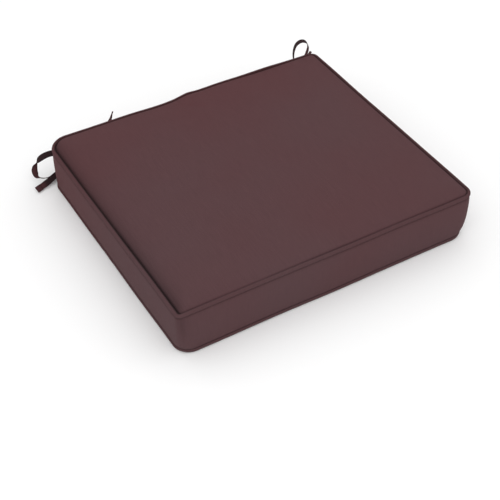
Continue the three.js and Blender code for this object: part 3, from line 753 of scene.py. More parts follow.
def tie_piece(name, side, rows, seed, dark_first):
    section, along, centre = tie_section(seed, side, rows)
    count, columns = section.shape[:2]
    # Painted shade on one whole face of the tie, and half of it on the two edges.
    second = np.concatenate([np.zeros(len(TIE_PROFILE)), np.ones(len(TIE_PROFILE) - 2)])
    second[[0, len(TIE_PROFILE) - 1]] = 0.5
    if dark_first:
        second = 1 - second
    width_at = np.concatenate([TIE_PROFILE, TIE_PROFILE[-2:0:-1]])
    stitch = STITCH_SHADE * bell(np.abs(width_at) - STITCH_ROW, STITCH_SHADE_WIDTH)
    hem_line = bell(along - along[-1] + HEM_LENGTH, HEM_LINE_WIDTH)
    painted_shade = np.clip(np.maximum(stitch[None, :], hem_line[:, None]), 0, 1)
    faces = grid_faces(count, columns, closed_columns=True, flip=True)
    faces.append(list(range(columns)))
    faces.append(list(range((count - 1) * columns, count * columns))[::-1])
    cloth = cloth_map(width_at[None, :] * TIE_WIDTH / 2, along[:, None])
    piece = new_piece(name, section.reshape(-1, 3), faces, cloth, painted_shade.ravel())
    # Near the hem end the painted shade fades, so that the end shows the cloth's own colour.
    unshaded_hem = soft_step(along, along[-1] - 2.4 * HEM_LENGTH, along[-1] - 1.4 * HEM_LENGTH)
    mark(piece.data, "shaded_side", np.outer(1 - 0.9 * unshaded_hem, second).ravel())
    return piece, along[-1], centre


tie_pieces = {}
for number, (name, (side, rows)) in enumerate(TIES.items()):
    strip, dark_first = name.replace("_tie", "_tie_strip"), name == "right_upper_tie"
    piece, length, centre = tie_piece(strip, side, rows, 40 + 7 * number, dark_first)
    tie_pieces[name] = (stand_in(piece, tie_cloth, "tie_tape", name), length, centre)
    print(piece.name, len(piece.data.polygons), "faces")

# %% [markdown]
# The knot of a bow is the same strip, wound once round the four strands. It is a loop of cloth, tight
# in the middle and flared at its two edges, and it sits at a slant because the strip comes in from one
# side and leaves at the other.

# %% Knots
KNOT_SQUARENESS = 0.45
WRAP_THICKNESS = 0.0011
WRAP_FLARE, WRAP_WAIST = 0.0005, 0.0002
WRAP_SLANT = 0.0012
WRAP_POINTS_AROUND, WRAP_POINTS_ACROSS = 64, 13


def squared(circle):
    """A circle's sine or cosine, pushed out towards a rounded square."""
    return np.sign(circle) * np.abs(circle) ** KNOT_SQUARENESS


def knot_piece(name, seed):
    low, high = (np.array(corner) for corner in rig.box(name))
    centre, half = (low + high) / 2, (high - low) / 2
    around = np.linspace(0, 2 * math.pi, WRAP_POINTS_AROUND, endpoint=False)
    across = np.linspace(-1, 1, WRAP_POINTS_ACROSS)
    slant = WRAP_SLANT * np.sin(around)[:, None]
    shells = []
    for depth in (0.0, WRAP_THICKNESS):
        flare = WRAP_FLARE * across**2 - WRAP_WAIST - depth
        x = centre[0] + slant + across[None, :] * (half[0] - 0.0003)
        y = centre[1] + squared(np.cos(around))[:, None] * (half[1] + flare)[None, :]
        z = centre[2] + squared(np.sin(around))[:, None] * (half[2] + flare)[None, :]
        shells.append(np.stack([x, y, z], axis=2))
    loop = np.concatenate([shells[0], shells[1][:, ::-1]], axis=1)
    loop += 0.00012 * smooth_noise(loop.reshape(-1, 3), 0.004, seed).reshape(*loop.shape[:2], 1)
    rows, columns = loop.shape[:2]
    rim = np.concatenate([across, across[::-1]])
    travel = around / (2 * math.pi) * 4 * (half[1] + half[2])
    cloth = cloth_map(rim[None, :] * half[0], travel[:, None])
    # The hidden inner layer gets full painted shade and the ties' painted shaded colour.
    hidden = np.repeat([0.0, 1.0], len(across))
    stitch = STITCH_SHADE * bell(np.abs(rim) - STITCH_ROW, 0.1)
    painted_shade = np.tile(np.maximum(stitch, hidden), rows)
    faces = grid_faces(rows, columns, closed_rows=True, closed_columns=True)
    piece = new_piece(name + "_wrap", loop.reshape(-1, 3), faces, cloth, painted_shade)
    mark(piece.data, "shaded_side", np.tile(hidden, rows))
    return stand_in(piece, tie_cloth, "tie_tape", name)


knots = {side: knot_piece(f"{side}_bow_knot", 3) for side in ("left", "right")}
print("knots:", [k.name for k in knots.values()])

# A limp, flat strip with a bare end says that, and its path is the middle line that was just walked.
# Each knot goes with the lower tie, whose strip it is.

for name, (piece, length, centre) in tie_pieces.items():
    own_knot = [knots[name.split("_")[0]]] if "lower" in name else []
    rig.cord(
        piece,
        exit=tuple(centre[0]),
        length=round(float(length), 3),
        diameter=TIE_WIDTH,
        far_end="bare",
        stiffness="limp",
        lay="loose",
        path=centre[np.linspace(0, len(centre) - 1, len(centre) // 3).astype(int)].tolist(),
        with_pieces=own_knot,
    )
print("cords declared:", len(tie_pieces))

# %% [markdown]
# ## The ring that every seam shares
#
# A cover's pieces meet along two rings, one round the top and one round the bottom. Both are rounded
# rectangles whose four corners have their own radii, because a sewn corner is never as regular as its
# pattern: the corner that was turned last is the tightest. The ring is a list of stations, the same for
# any inset and height. So the panels, the piping and the band can all be drawn from it, and their
# points face each other along the seam.

# %% The ring
HALF_WIDTH, HALF_DEPTH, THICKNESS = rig.box("top_piping_cover")[1]
PIPING_RADIUS = 0.003
ARC_STEPS = 16
GAP_STEPS = 3
ACROSS_STATIONS = np.linspace(-0.185, 0.185, 75)
DEEP_STATIONS = np.linspace(-0.160, 0.160, 65)
# Corner radii: back left, front left, front right, back right.
TOP_RADII = (0.029, 0.0085, 0.016, 0.013)
BOTTOM_RADII = (0.024, 0.024, 0.030, 0.022)


def ring(inset, radii):
    """Stations counter-clockwise from the middle of the back: x, y, and the way out in x and y."""
    reaches = [max(r - inset, 0.002) for r in radii]
    signs = [(-1, 1), (-1, -1), (1, -1), (1, 1)]
    arcs = []
    for k, ((sx, sy), reach) in enumerate(zip(signs, reaches)):
        angle = math.pi / 2 * (k + 1) + np.linspace(0, math.pi / 2, ARC_STEPS + 1)
        out = np.column_stack([np.cos(angle), np.sin(angle)])
        middle = np.array([sx * (HALF_WIDTH - inset - reach), sy * (HALF_DEPTH - inset - reach)])
        arcs.append(np.hstack([middle + reach * out, out]))
    back, front = HALF_DEPTH - inset, inset - HALF_DEPTH
    left, right = inset - HALF_WIDTH, HALF_WIDTH - inset
    across, deep = ACROSS_STATIONS, DEEP_STATIONS

    def run(x, y, out):
        x, y = np.broadcast_arrays(np.asarray(x, float), np.asarray(y, float))
        return np.column_stack([x, y, np.tile(out, (len(x), 1))])

    def gap(one, other):
        share = np.linspace(0, 1, GAP_STEPS + 1, endpoint=False)[1:, None]
        return one * (1 - share) + other * share

    half = len(across) // 2
    sides = [
        run(across[half::-1], back, (0, 1)),
        run(left, deep[::-1], (-1, 0)),
        run(across, front, (0, -1)),
        run(right, deep, (1, 0)),
        run(across[:half:-1], back, (0, 1)),
    ]
    parts = []
    for k, side in enumerate(sides):
        if k:
            parts += [gap(parts[-1][-1], side[0])]
        parts.append(side)
        if k < 4:
            parts += [gap(side[-1], arcs[k][0]), arcs[k]]
    return np.vstack(parts)


STATIONS = len(ring(0, TOP_RADII))
corner_middles = []
station = len(ACROSS_STATIONS) // 2 + 1 + GAP_STEPS + ARC_STEPS // 2
for length in (len(DEEP_STATIONS), len(ACROSS_STATIONS), len(DEEP_STATIONS), 0):
    corner_middles.append(station)
    station += ARC_STEPS + 1 + 2 * GAP_STEPS + length
ring_run = distance_along(ring(PIPING_RADIUS, TOP_RADII)[:, :2])
print("ring:", STATIONS, "stations,", round(float(ring_run[-1]), 3), "m round, corners at", corner_middles)

# %% [markdown]
# Sewn edges wander a little. One function gives how far the seam strays at each station, out and up,
# and every piece that meets there uses it. The middle of the back has a low hump in the top edge, where
# the two ends of the piping overlap, with a slight dip beside it.

# %% How the sewn edge wanders
# How far the seam strays, over what length, and the seed.
STRAY_OUT = (0.0007, 0.16, 11)
STRAY_UP = (0.0006, 0.13, 12)
BACK_ZONE = 0.02
# Height, place and width of each rise along the top edge's back; one is a dip.
RIGHT_RISE = (0.0022, 0.135, 0.042)
MIDDLE_RISES = ((0.0026, 0, 0.016), (0.0022, 0.05, 0.05), (-0.0016, -0.05, 0.035))
LEFT_LEAN, SMALL_LEAN = 0.0018, 0.0006
# How strong the painted shade of the seams is on the left, right, front and back.
SHADE_LEFT, SHADE_RIGHT, SHADE_FRONT, SHADE_BACK = 0.95, 0.61, 0.60, 0.70


def rises_at(x, *rises):
    return sum(height * bell(x - place, width) for height, place, width in rises)


def wander(stations, height):
    """How far the sewn ring strays, out and up: the top one leans outwards on the left and sags there."""
    place = np.column_stack([stations[:, :2], np.full(len(stations), height)])
    out, up = (far * smooth_noise(place, length, seed) for far, length, seed in (STRAY_OUT, STRAY_UP))
    if height > THICKNESS / 2:
        at_back = stations[:, 1] > HALF_DEPTH - BACK_ZONE
        up = up + np.where(at_back, rises_at(stations[:, 0], RIGHT_RISE, *MIDDLE_RISES), 0)
        ways = (-stations[:, 2], stations[:, 2], -stations[:, 3])
        left, right, front = (np.maximum(way, 0) ** 2 for way in ways)
        out = out + LEFT_LEAN * left + SMALL_LEAN * right
        up = up - LEFT_LEAN * left - SMALL_LEAN * front
    return out, up


def seam_shade_strength(out):
    """How strong the painted seam shade is for each way out, from 0 to 1."""
    total = 0
    for way, low, high in ((out[:, 0], SHADE_LEFT, SHADE_RIGHT), (out[:, 1], SHADE_FRONT, SHADE_BACK)):
        total = total + way**2 * ((low + high) / 2 + (high - low) / 2 * way)
    return total


def wandered(inset, radii, height):
    stations = ring(inset, radii)
    out, up = wander(ring(PIPING_RADIUS, radii), height)
    return stations[:, :2] + stations[:, 2:] * out[:, None], stations[:, 2:], up


strays = [float(np.abs(far).max()) for far in wander(ring(PIPING_RADIUS, TOP_RADII), THICKNESS)]
print("top edge strays by up to", round(strays[0], 4), "m out and", round(strays[1], 4), "m up or down")

# %% [markdown]
# ## The panels
#
# A panel is a sheet stretched over foam and wadding and held down all round by the seam. It rises
# steeply out of the seam, rolls over the wadding within a finger's breadth, and then is almost flat,
# with a slow crown. The grid for it is a Coons patch: a sheet of rows and columns spun between four
# edges, here the four sides of the ring between the middles of its corners. That gives square cells in
# the middle and rows that follow the seam at the edge, which a plain grid cut to the outline would not.

# %% Panel grid
SEAM_INSET = 0.0049
BOTTOM_SEAM_HEIGHT = 0.0034
TOP_SEAM_HEIGHT = THICKNESS - BOTTOM_SEAM_HEIGHT
# The cloth climbs steeply out of the seam, rolls over, and is crowned: how long and how high each climb is.
CLIMB_LENGTHS = (0.0012, 0.009, 0.07)
TOP_CLIMBS = (0.0031, 0.0026, 0.0012)
BOTTOM_CLIMBS = (0.0028, 0.0004, 0)
# The share of the right rise by which the piping stands up above the panel.
PANEL_STAYS_DOWN = 0.8


def ring_sides(values):
    """The ring cut at its corner middles: front and back from the left, left and right from the front."""
    bl, fl, fr, br = corner_middles
    back = np.concatenate([values[br:], values[: bl + 1]])[::-1]
    return values[fl : fr + 1], back, values[bl : fl + 1][::-1], values[fr : br + 1]


def coons(front, back, left, right):
    u = (front[:, 0] + back[:, 0]) / 2
    u = ((u - u[0]) / (u[-1] - u[0]))[None, :, None]
    v = (left[:, 1] + right[:, 1]) / 2
    v = ((v - v[0]) / (v[-1] - v[0]))[:, None, None]
    along = (1 - v) * front[None] + v * back[None]
    up = (1 - u) * left[:, None] + u * right[:, None]
    corners = (1 - v) * ((1 - u) * front[0] + u * front[-1]) + v * ((1 - u) * back[0] + u * back[-1])
    return along + up - corners


def inside_distance(xy, radii, inset):
    """How far a point lies inside the rounded rectangle."""
    bl, fl, fr, br = radii
    x, y = xy[:, 0], xy[:, 1]
    r = np.where(x < 0, np.where(y > 0, bl, fl), np.where(y > 0, br, fr)) - inset
    qx = np.abs(x) - (HALF_WIDTH - inset) + r
    qy = np.abs(y) - (HALF_DEPTH - inset) + r
    outside = np.hypot(np.maximum(qx, 0), np.maximum(qy, 0))
    return np.maximum(r - outside - np.minimum(np.maximum(qx, qy), 0), 0)


def panel_grid(radii, seam_height, climbs, sign):
    xy, _, up = wandered(SEAM_INSET, radii, seam_height)
    if sign > 0:
        at_back = xy[:, 1] > HALF_DEPTH - BACK_ZONE
        up = up - np.where(at_back, PANEL_STAYS_DOWN * rises_at(xy[:, 0], RIGHT_RISE), 0)
    grid = coons(*ring_sides(np.column_stack([xy, up])))
    flat = grid.reshape(-1, 3)
    depth = inside_distance(flat[:, :2], radii, SEAM_INSET)
    climb = sum(high * (1 - np.exp(-depth / length)) for high, length in zip(climbs, CLIMB_LENGTHS))
    flat[:, 2] = seam_height + flat[:, 2] + sign * climb
    return flat, depth, *grid.shape[:2]


top_points, top_depth, panel_rows, panel_columns = panel_grid(TOP_RADII, TOP_SEAM_HEIGHT, TOP_CLIMBS, 1)
bottom_points, bottom_depth, _, _ = panel_grid(BOTTOM_RADII, BOTTOM_SEAM_HEIGHT, BOTTOM_CLIMBS, -1)
bottom_points[:, 2] = np.maximum(bottom_points[:, 2], 0.0002)
print("panels:", panel_rows, "x", panel_columns, "points, top at", round(float(top_points[:, 2].max()), 4))

# %% [markdown]
# ## The band
#
# The boxing, as sewers call it, is the band between the two pipings. The foam presses it outwards, so
# it bulges by a millimetre or two between its seams, and at both edges it turns in under the piping. It
# is drawn as one ring first, so that the cloth simulation can work on it whole, and cut into its sewn
# parts afterwards.

# %% Band ring
OPENING_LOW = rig.box("zip_boxing_lower")[1].z
OPENING_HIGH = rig.box("zip_boxing_upper")[0].z
BAND_FACE_INSET = 0.0019
BAND_BULGE, BULGE_POWER = 0.0012, 2.5
TURNED_IN, TURN_HEIGHT = 0.0045, 0.0009
CORNER_SPREAD = 0.22
lower_rows = np.array([0.0052, 0.0062, 0.0074, 0.009, 0.0115, 0.0155, 0.0205, 0.0255, 0.030])
middle_rows = np.array([OPENING_LOW, (OPENING_LOW + OPENING_HIGH) / 2, OPENING_HIGH])
BAND_ROWS = np.concatenate([lower_rows, middle_rows, THICKNESS - lower_rows[::-1]])


def band_points():
    bottom_height, top_height = BAND_ROWS[0], BAND_ROWS[-1]
    grid = []
    for height in BAND_ROWS:
        t = (height - bottom_height) / (top_height - bottom_height)
        bulge = BAND_BULGE * (1 - abs(2 * t - 1) ** BULGE_POWER)
        to_seam = min(height - bottom_height, top_height - height)
        inset = BAND_FACE_INSET - bulge + TURNED_IN * math.exp(-to_seam / TURN_HEIGHT)
        top_left_over = math.exp(-1 / CORNER_SPREAD)
        low_share = (math.exp(-t / CORNER_SPREAD) - top_left_over) / (1 - top_left_over)
        radii = [a + (b - a) * low_share for a, b in zip(TOP_RADII, BOTTOM_RADII)]
        top_xy, normals, top_up = wandered(inset, radii, TOP_SEAM_HEIGHT)
        low_xy, _, low_up = wandered(inset, radii, BOTTOM_SEAM_HEIGHT)
        z = height + top_up * t + low_up * (1 - t)
        grid.append(np.column_stack([top_xy * t + low_xy * (1 - t), z]))
    return np.array(grid), normals


band_grid, band_normals = band_points()
print("band:", band_grid.shape[0], "rows x", band_grid.shape[1], "stations")

# %% [markdown]
# ## Letting the cloth settle
#
# The foam and wadding push the cover out, and its seams hold it back. Blender's cloth simulation does
# just that: the top panel and the band are given a pressure from within, every point of a seam is
# pinned, and twenty steps later the cloth has found its tension, with faint pulls towards the corners.
# The movement is limited afterwards, because real foam gives way long before a balloon would.

# %% Cloth simulation
SETTLE_FRAMES = 20
SETTLE_LIMIT = 0.0035
CLOTH_SETTINGS = {
    "quality": 5,
    "mass": 0.3,
    "tension_stiffness": 30,
    "compression_stiffness": 30,
    "shear_stiffness": 10,
    "bending_stiffness": 1.5,
    "vertex_group_mass": "seams",
    "use_pressure": True,
    "uniform_pressure_force": 4,
}


def settle(points, faces, pinned):
    mesh = bpy.data.meshes.new("settling")
    mesh.from_pydata(points.tolist(), [], faces)
    cover = add_object("settling", mesh)
    seams = cover.vertex_groups.new(name="seams")
    for weight in (1.0, 0.5):
        seams.add(np.flatnonzero(np.isclose(pinned, weight)).tolist(), weight, "REPLACE")
    cloth = cover.modifiers.new("cloth", "CLOTH")
    for key, value in CLOTH_SETTINGS.items():
        setattr(cloth.settings, key, value)
    cloth.settings.effector_weights.gravity = 0
    cloth.point_cache.frame_end = SETTLE_FRAMES
    for step in range(1, SETTLE_FRAMES + 1):
        bpy.context.scene.frame_set(step)
    settled = cover.evaluated_get(bpy.context.evaluated_depsgraph_get())
    moved = np.zeros(len(points) * 3, np.float32)
    settled.data.vertices.foreach_get("co", moved)
    bpy.data.objects.remove(cover)
    bpy.context.scene.frame_set(1)
    return moved.reshape(-1, 3) - points


def settle_cover():
    band_flat = band_grid.reshape(-1, 3)
    rows, columns = band_grid.shape[:2]
    offset = len(top_points)
    faces = grid_faces(panel_rows, panel_columns)
    faces += [[offset + i for i in face] for face in grid_faces(rows, columns, closed_columns=True)]
    top_pins = np.where(top_depth < 0.002, 1.0, np.where(top_depth < 0.004, 0.5, 0.0))
    row = np.repeat(np.arange(rows), columns)
    from_seam = np.minimum(row, rows - 1 - row)
    band_pins = np.where(from_seam < 3, 1.0, np.where(from_seam < 4, 0.5, 0.0))
    move = settle(np.vstack([top_points, band_flat]), faces, np.concatenate([top_pins, band_pins]))
    size = np.linalg.norm(move, axis=1)[:, None]
    move = move / np.sqrt(1 + (size / SETTLE_LIMIT) ** 2)
    return move[:offset], move[offset:].reshape(band_grid.shape)


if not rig.quick():
    top_move, band_move = settle_cover()
    top_points = top_points + top_move
    band_grid = band_grid + band_move
    print("settled: top rose by", round(float(top_move[:, 2].max()), 5), "m at most")
    print("settled: band moved by", round(float(np.linalg.norm(band_move, axis=2).max()), 5), "m at most")

# %% [markdown]
# ### Panels of sewn cloth
#
# A sewn panel is never quite smooth: the wadding makes it rumple, least at the edge, where the seam
# holds it. The sheet of points could be subdivided and thickened by hand, but two modifiers do both:
# Subdivision rounds the cells, and Solidify gives the cloth its thickness inwards. Painted shade darkens
# the cloth along the seam; it is strongest on the left side, and more of it spreads wide there.

# %% Panel pieces
COVER_THICKNESS = 0.0008
# The painted shade of the panel's seam is narrow, and on the left side part of it is soft.
SEAM_SHADE, SOFT_SHADE = 0.0012, 0.011
# Height and breadth of the rumples that the filling makes in a panel.
RUMPLES = ((0.00022, 0.035, 21), (0.00035, 0.09, 22))


def add_modifier(piece, kind, **settings):
    modifier = piece.modifiers.new(kind.lower(), kind)
    for key, value in settings.items():
        setattr(modifier, key, value)


def finish_cloth(piece, node):
    add_modifier(piece, "SUBSURF", levels=1, render_levels=1)
    add_modifier(piece, "SOLIDIFY", thickness=COVER_THICKNESS, offset=-1)
    return stand_in(piece, cover_cloth, "cover_cloth", node)


def panel_piece(half, points, depth):
    rumple = sum(height * smooth_noise(points, breadth, seed) for height, breadth, seed in RUMPLES)
    points = points.copy()
    reach = points[:, :2] / [HALF_WIDTH, HALF_DEPTH]
    nearest = np.abs(reach) ** 24 * np.sign(reach)
    out = nearest / np.maximum(np.linalg.norm(nearest, axis=1), 1e-9)[:, None]
    # How strong the painted seam shade is at each point, by the side that it lies nearest.
    drawn = np.where(np.abs(reach).max(axis=1) > 0.5, seam_shade_strength(out), 0.5)
    points[:, 2] = np.maximum(points[:, 2] + rumple * (1 - np.exp(-depth / 0.01)), 0.0001)
    faces = grid_faces(panel_rows, panel_columns, flip=half == "bottom")
    soft = 0.2 + 0.55 * np.maximum(-out[:, 0], 0) ** 2
    painted_shade = ((1 - soft) * np.exp(-depth / SEAM_SHADE) + soft * np.exp(-depth / SOFT_SHADE)) * drawn
    piece = new_piece(f"{half}_panel_cloth", points, faces, points[:, :2], painted_shade)
    return finish_cloth(piece, f"{half}_panel")


top_panel = panel_piece("top", top_points, top_depth)
panel_piece("bottom", bottom_points, bottom_depth)
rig.padded(top_panel, fill=0.85)
print("panels:", len(top_panel.data.polygons), "faces each before subdivision")

# %% [markdown]
# ## Cutting the band into its sewn parts
#
# One long strip goes round the front and both sides. Two half-height strips with a zip between them
# close the back. Each strip's ends and folded edges turn in by a couple of millimetres, which draws part
# of the fine dark line of a seam; painted shade along the seams, the ends and the folds darkens the rest.

# %% Band pieces
zip_end_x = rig.box("zip_boxing_upper")[1].x
SEAM_TUCK = 0.0024
FOLD_IN = 0.0013
FOLD_OVER = 0.0009
END_SHADE, FOLD_SHADE = 0.55, 0.8
# The seam's painted shade up the band: where it starts, and over what height it fades.
SHADE_START, SHADE_FADE = 0.0008, 0.0017
# Painted shade in the fold at the front left corner, and fainter on the front beside it: how dark, and how wide.
CORNER_FOLD_SHADE, CORNER_FOLD_WIDTH = 0.30, 0.004
CORNER_SIDE_SHADE, CORNER_SIDE_FADE = 0.14, 0.03
JOIN_GAP = 0.0002


def band_crease(heights):
    to_seam = np.minimum(heights - BAND_ROWS[0], BAND_ROWS[-1] - heights)
    return np.exp(-np.maximum(to_seam - SHADE_START, 0) / SHADE_FADE)


def corner_shade(heights, run):
    """Painted shade down the band at the front left corner, where two planes of foam meet in a soft fold, and fainter
    on the front beside it.
    """
    past = run - ring_run[corner_middles[1]]
    side = CORNER_SIDE_SHADE * np.exp(-np.abs(past) / CORNER_SIDE_FADE) * (past > 0)
    fold = CORNER_FOLD_SHADE * bell(past, CORNER_FOLD_WIDTH) + side
    share = np.clip((heights - BAND_ROWS[0]) / (BAND_ROWS[-1] - BAND_ROWS[0]), 0, 1)
    return np.clip(share * 1.6 - 0.2, 0, 1)[:, None] * fold[None, :]


def tuck_ends(grid, out, painted_shade, run):
    """One more column at each end of a strip, turned in through the seam."""
    step = np.diff(run[:2])[0] * 0.16
    ends = []
    for index, inner in ((0, 1), (-1, -2)):
        toward = unit(grid[:, index] - grid[:, inner])
        ends.append((grid[:, index] + toward * 0.0001 - out[0, index] * SEAM_TUCK)[:, None])
    grid = np.concatenate([ends[0], grid, ends[1]], axis=1)
    painted_shade = np.pad(painted_shade, ((0, 0), (1, 1)), constant_values=1)
    painted_shade[:, [1, -2]] = np.maximum(painted_shade[:, [1, -2]], END_SHADE)
    out = np.concatenate([out[:, :1], out, out[:, -1:]], axis=1)
    return grid, out, painted_shade, np.concatenate([[run[0] - step], run, [run[-1] + step]])


def fold_edge(grid, out, painted_shade, edge):
    """Two more rows at a strip's opening edge, 0 for the lowest row and -1 for the highest."""
    up = np.array([0, 0, 1 if edge == 0 else -1])
    lip = grid[edge] - out[0] * FOLD_IN - up * 0.0002
    under = grid[edge] - out[0] * (FOLD_IN + FOLD_OVER) + up * 0.004
    shade = np.full((2, grid.shape[1]), FOLD_SHADE)
    if edge == 0:
        return np.concatenate([[under, lip], grid]), np.concatenate([shade, painted_shade])
    return np.concatenate([grid, [lip, under]]), np.concatenate([painted_shade, shade])


def strip_piece(name, grid, normals, run, node, opening=None):
    """A strip of the band, with its two ends turned in, and its opening edge folded if it has one."""
    heights = grid[:, 0, 2]
    painted_shade = band_crease(heights)[:, None] * seam_shade_strength(normals)[None, :]
    painted_shade = np.maximum(painted_shade, corner_shade(heights, run))
    out = np.concatenate([normals, np.zeros((len(normals), 1))], axis=1)[None]
    grid, out, painted_shade, run = tuck_ends(grid, out, painted_shade, run)
    if opening is not None:
        grid, painted_shade = fold_edge(grid, out, painted_shade, opening)
    faces = grid_faces(*grid.shape[:2], flip=True)
    cloth = cloth_map(run[None, :], grid[:, :, 2])
    return finish_cloth(new_piece(name, grid.reshape(-1, 3), faces, cloth, painted_shade.ravel()), node)


def back_order(low_x, high_x):
    """Stations along the back between two places, in the order they run."""
    half = len(ACROSS_STATIONS) // 2
    left = np.arange(0, half + 1)
    right = np.arange(STATIONS - half, STATIONS)
    order = np.concatenate([right, left])
    x = band_grid[0, order, 0]
    return order[(x >= low_x - 1e-4) & (x <= high_x + 1e-4)]


left_join = int(np.argmin(np.abs(band_grid[0, : STATIONS // 4, 0] + zip_end_x)))
front = slice(left_join, STATIONS - left_join + 1)
front_band = strip_piece(
    "front_boxing_cloth", band_grid[:, front], band_normals[front], ring_run[front], "front_boxing"
)
zip_order = back_order(-zip_end_x - 0.001, zip_end_x + 0.001)
zip_grid = band_grid[:, zip_order].copy()
zip_grid[:, 0, 0] -= JOIN_GAP
zip_grid[:, -1, 0] += JOIN_GAP
low_end = len(lower_rows)
for half, rows, opening in (("lower", slice(0, low_end + 1), -1), ("upper", slice(low_end + 2, None), 0)):
    normals, run = band_normals[zip_order], -zip_grid[0, :, 0]
    strip_piece(f"zip_band_{half}_cloth", zip_grid[rows], normals, run, f"zip_boxing_{half}", opening)
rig.padded(front_band, fill=0.8)
print("band:", front_band.name, "and two zip strips, joined at x", round(zip_end_x, 3))

# %% [markdown]
# ## The piping
#
# Piping is a bias strip folded round a filler cord. What shows is a round welt, 6 mm across, that
# stands in the seam. It is swept round the ring, with the filler cord inside it. Its section is a
# circle with a tail, the two layers that run into the seam. Small pinches at the corners, where the
# bias strip is snipped and crowded, keep it from looking like a hose.

# %% Piping pieces
# Angles on the welt's section: where each cloth touches it, and how soon the painted shade there fades.
MEETS_PANEL, PANEL_FADE = 2.1, 0.22
MEETS_BAND, BAND_FADE = -1.15, 0.14
WELT_RADIUS = PIPING_RADIUS * 0.9
WELT_TAIL = 0.0034
TAIL_LAYER = 0.0006
PINCH_PITCH = 0.0042
OVERLAP_SWELL, OVERLAP_WIDTH = 0.10, 0.009
EDGES = {
    "top": (TOP_RADII, THICKNESS - PIPING_RADIUS, 31),
    "bottom": (BOTTOM_RADII, PIPING_RADIUS + 0.0001, 32),
}


def add_tail(points, painted_shade, centre, out, radius):
    """The welt's lowest points are drawn together into two layers that run into the seam."""
    near, lay = (
        [centre - out * reach + np.array([0, 0, side * layer]) for side in (1, -1)]
        for reach, layer in ((radius * 0.98, TAIL_LAYER * 1.4), (radius + WELT_TAIL, TAIL_LAYER))
    )
    new = [near[0][:, None], lay[0][:, None], lay[1][:, None]]
    points = np.concatenate([near[1][:, None], points[:, 1:-1], *new], axis=1)
    # The tail lies in the seam, so it gets full painted shade.
    return points, np.concatenate([painted_shade[:, :-1], np.ones((len(points), 3))], axis=1)


def swept_ring(name, edge, radius, pinch, seed, sides, tail=False):
    """A tube that follows one ring, pinched where it turns and a little fatter at its overlap."""
    radii, height, _ = EDGES[edge]
    xy, normals, up = wandered(PIPING_RADIUS, radii, height)
    centre = np.column_stack([xy, height + up])
    overlap = bell(xy[:, 0], OVERLAP_WIDTH) * (xy[:, 1] > 0)
    swell = 1 + OVERLAP_SWELL * overlap + pinch * smooth_noise(centre, 0.02, seed)
    turning = np.linalg.norm(np.roll(normals, -1, axis=0) - np.roll(normals, 1, axis=0), axis=1)
    crowd = pinch * 1.6 * np.sin(ring_run * 2 * math.pi / PINCH_PITCH) * np.clip(turning / 0.15, 0, 1)
    reach = radius * (swell + crowd)
    angle = np.linspace(-math.pi, math.pi, sides, endpoint=False) + math.pi / sides
    out = np.concatenate([normals, np.zeros((len(normals), 1))], axis=1)
    circle = np.cos(angle)[None, :, None] * out[:, None] + np.sin(angle)[None, :, None] * np.array([0, 0, 1])
    points = centre[:, None] + circle * reach[:, None, None]
    # Painted shade on the welt where the panel and the band touch it.
    at_panel = np.exp(-np.maximum(MEETS_PANEL - angle, 0) / PANEL_FADE)
    at_band = 0.8 * np.exp(-np.maximum(angle - MEETS_BAND, 0) / BAND_FADE)
    touching = np.maximum(at_panel, at_band)[:: 1 if edge == "top" else -1]
    painted_shade = touching[None, :] * seam_shade_strength(normals)[:, None]
    if tail:
        points, painted_shade = add_tail(points, painted_shade, centre, out, radius)
    rows, columns = points.shape[:2]
    girth = np.linspace(0, 2 * math.pi * radius, columns)
    faces = grid_faces(rows, columns, closed_rows=True, closed_columns=True, flip=True)
    cloth = cloth_map(girth[None, :], ring_run[:, None])
    return new_piece(name, points.reshape(-1, 3), faces, cloth, painted_shade.ravel())


for edge, (_, _, seed) in EDGES.items():
    welt = swept_ring(f"{edge}_piping_welt", edge, WELT_RADIUS, 0.014, seed, 20, tail=True)
    stand_in(welt, piping_cloth, "piping_cloth", f"{edge}_piping_cover")
print("piping:", len(welt.data.polygons), "faces each")

# %% [markdown]
# ## The stage
#
# Dark matte cloth shows its form only in soft light, and small hard lamps would draw bright lines on
# the piping. So a white sky gives nearly all the light, one wide lamp at the front left gives a
# direction to it, and a pale matte floor takes the pad's shadow.

# %% Stage and light
WORLD_STRENGTH = 1.02
KEY_PLACE, KEY_SIZE, KEY_POWER = (-0.7, -1.5, 2.6), 2.2, 17
FLOOR_HALF, FLOOR_DROP = 4, 0.0004
WHITE = (1, 1, 1, 1)


def add_floor():
    corners = [(FLOOR_HALF * x, FLOOR_HALF * y, 0) for x, y in ((-1, -1), (1, -1), (1, 1), (-1, 1))]
    floor = new_piece("studio_floor", corners, [(0, 1, 2, 3)])
    material, _, shader, _ = new_material("pale_floor", specular=0.0)
    shader.inputs["Base Color"].default_value = (0.93, 0.93, 0.93, 1)
    shader.inputs["Roughness"].default_value = 0.95
    floor.data.materials.append(material)
    floor.location.z = -FLOOR_DROP
    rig.stage(floor)


def add_key_light():
    data = bpy.data.lights.new("key", "AREA")
    data.size = KEY_SIZE
    data.energy = KEY_POWER
    light = add_object("key", data)
    light.location = KEY_PLACE
    light.rotation_euler = (-Vector(KEY_PLACE)).to_track_quat("-Z", "Y").to_euler()


def set_world():
    world = bpy.data.worlds.new("studio")
    world.use_nodes = True
    background = world.node_tree.nodes["Background"]
    background.inputs["Color"].default_value = WHITE
    background.inputs["Strength"].default_value = WORLD_STRENGTH
    bpy.context.scene.world = world
    bpy.context.scene.view_settings.view_transform = "Standard"


add_floor()
set_world()
add_key_light()
print("lights ready")

# %% [markdown]
# ## Inside the piping and the cover
#
# What the cover hides is built too, because the pad comes apart: a twisted filler cord in each welt, a
# foam block, and a fold of wadding round it. The filler cords follow the same ring as their welts. The
# foam is the frame's block with its edges rounded by a bevel, since foam is cut with a blade and then
# gives at the edges.

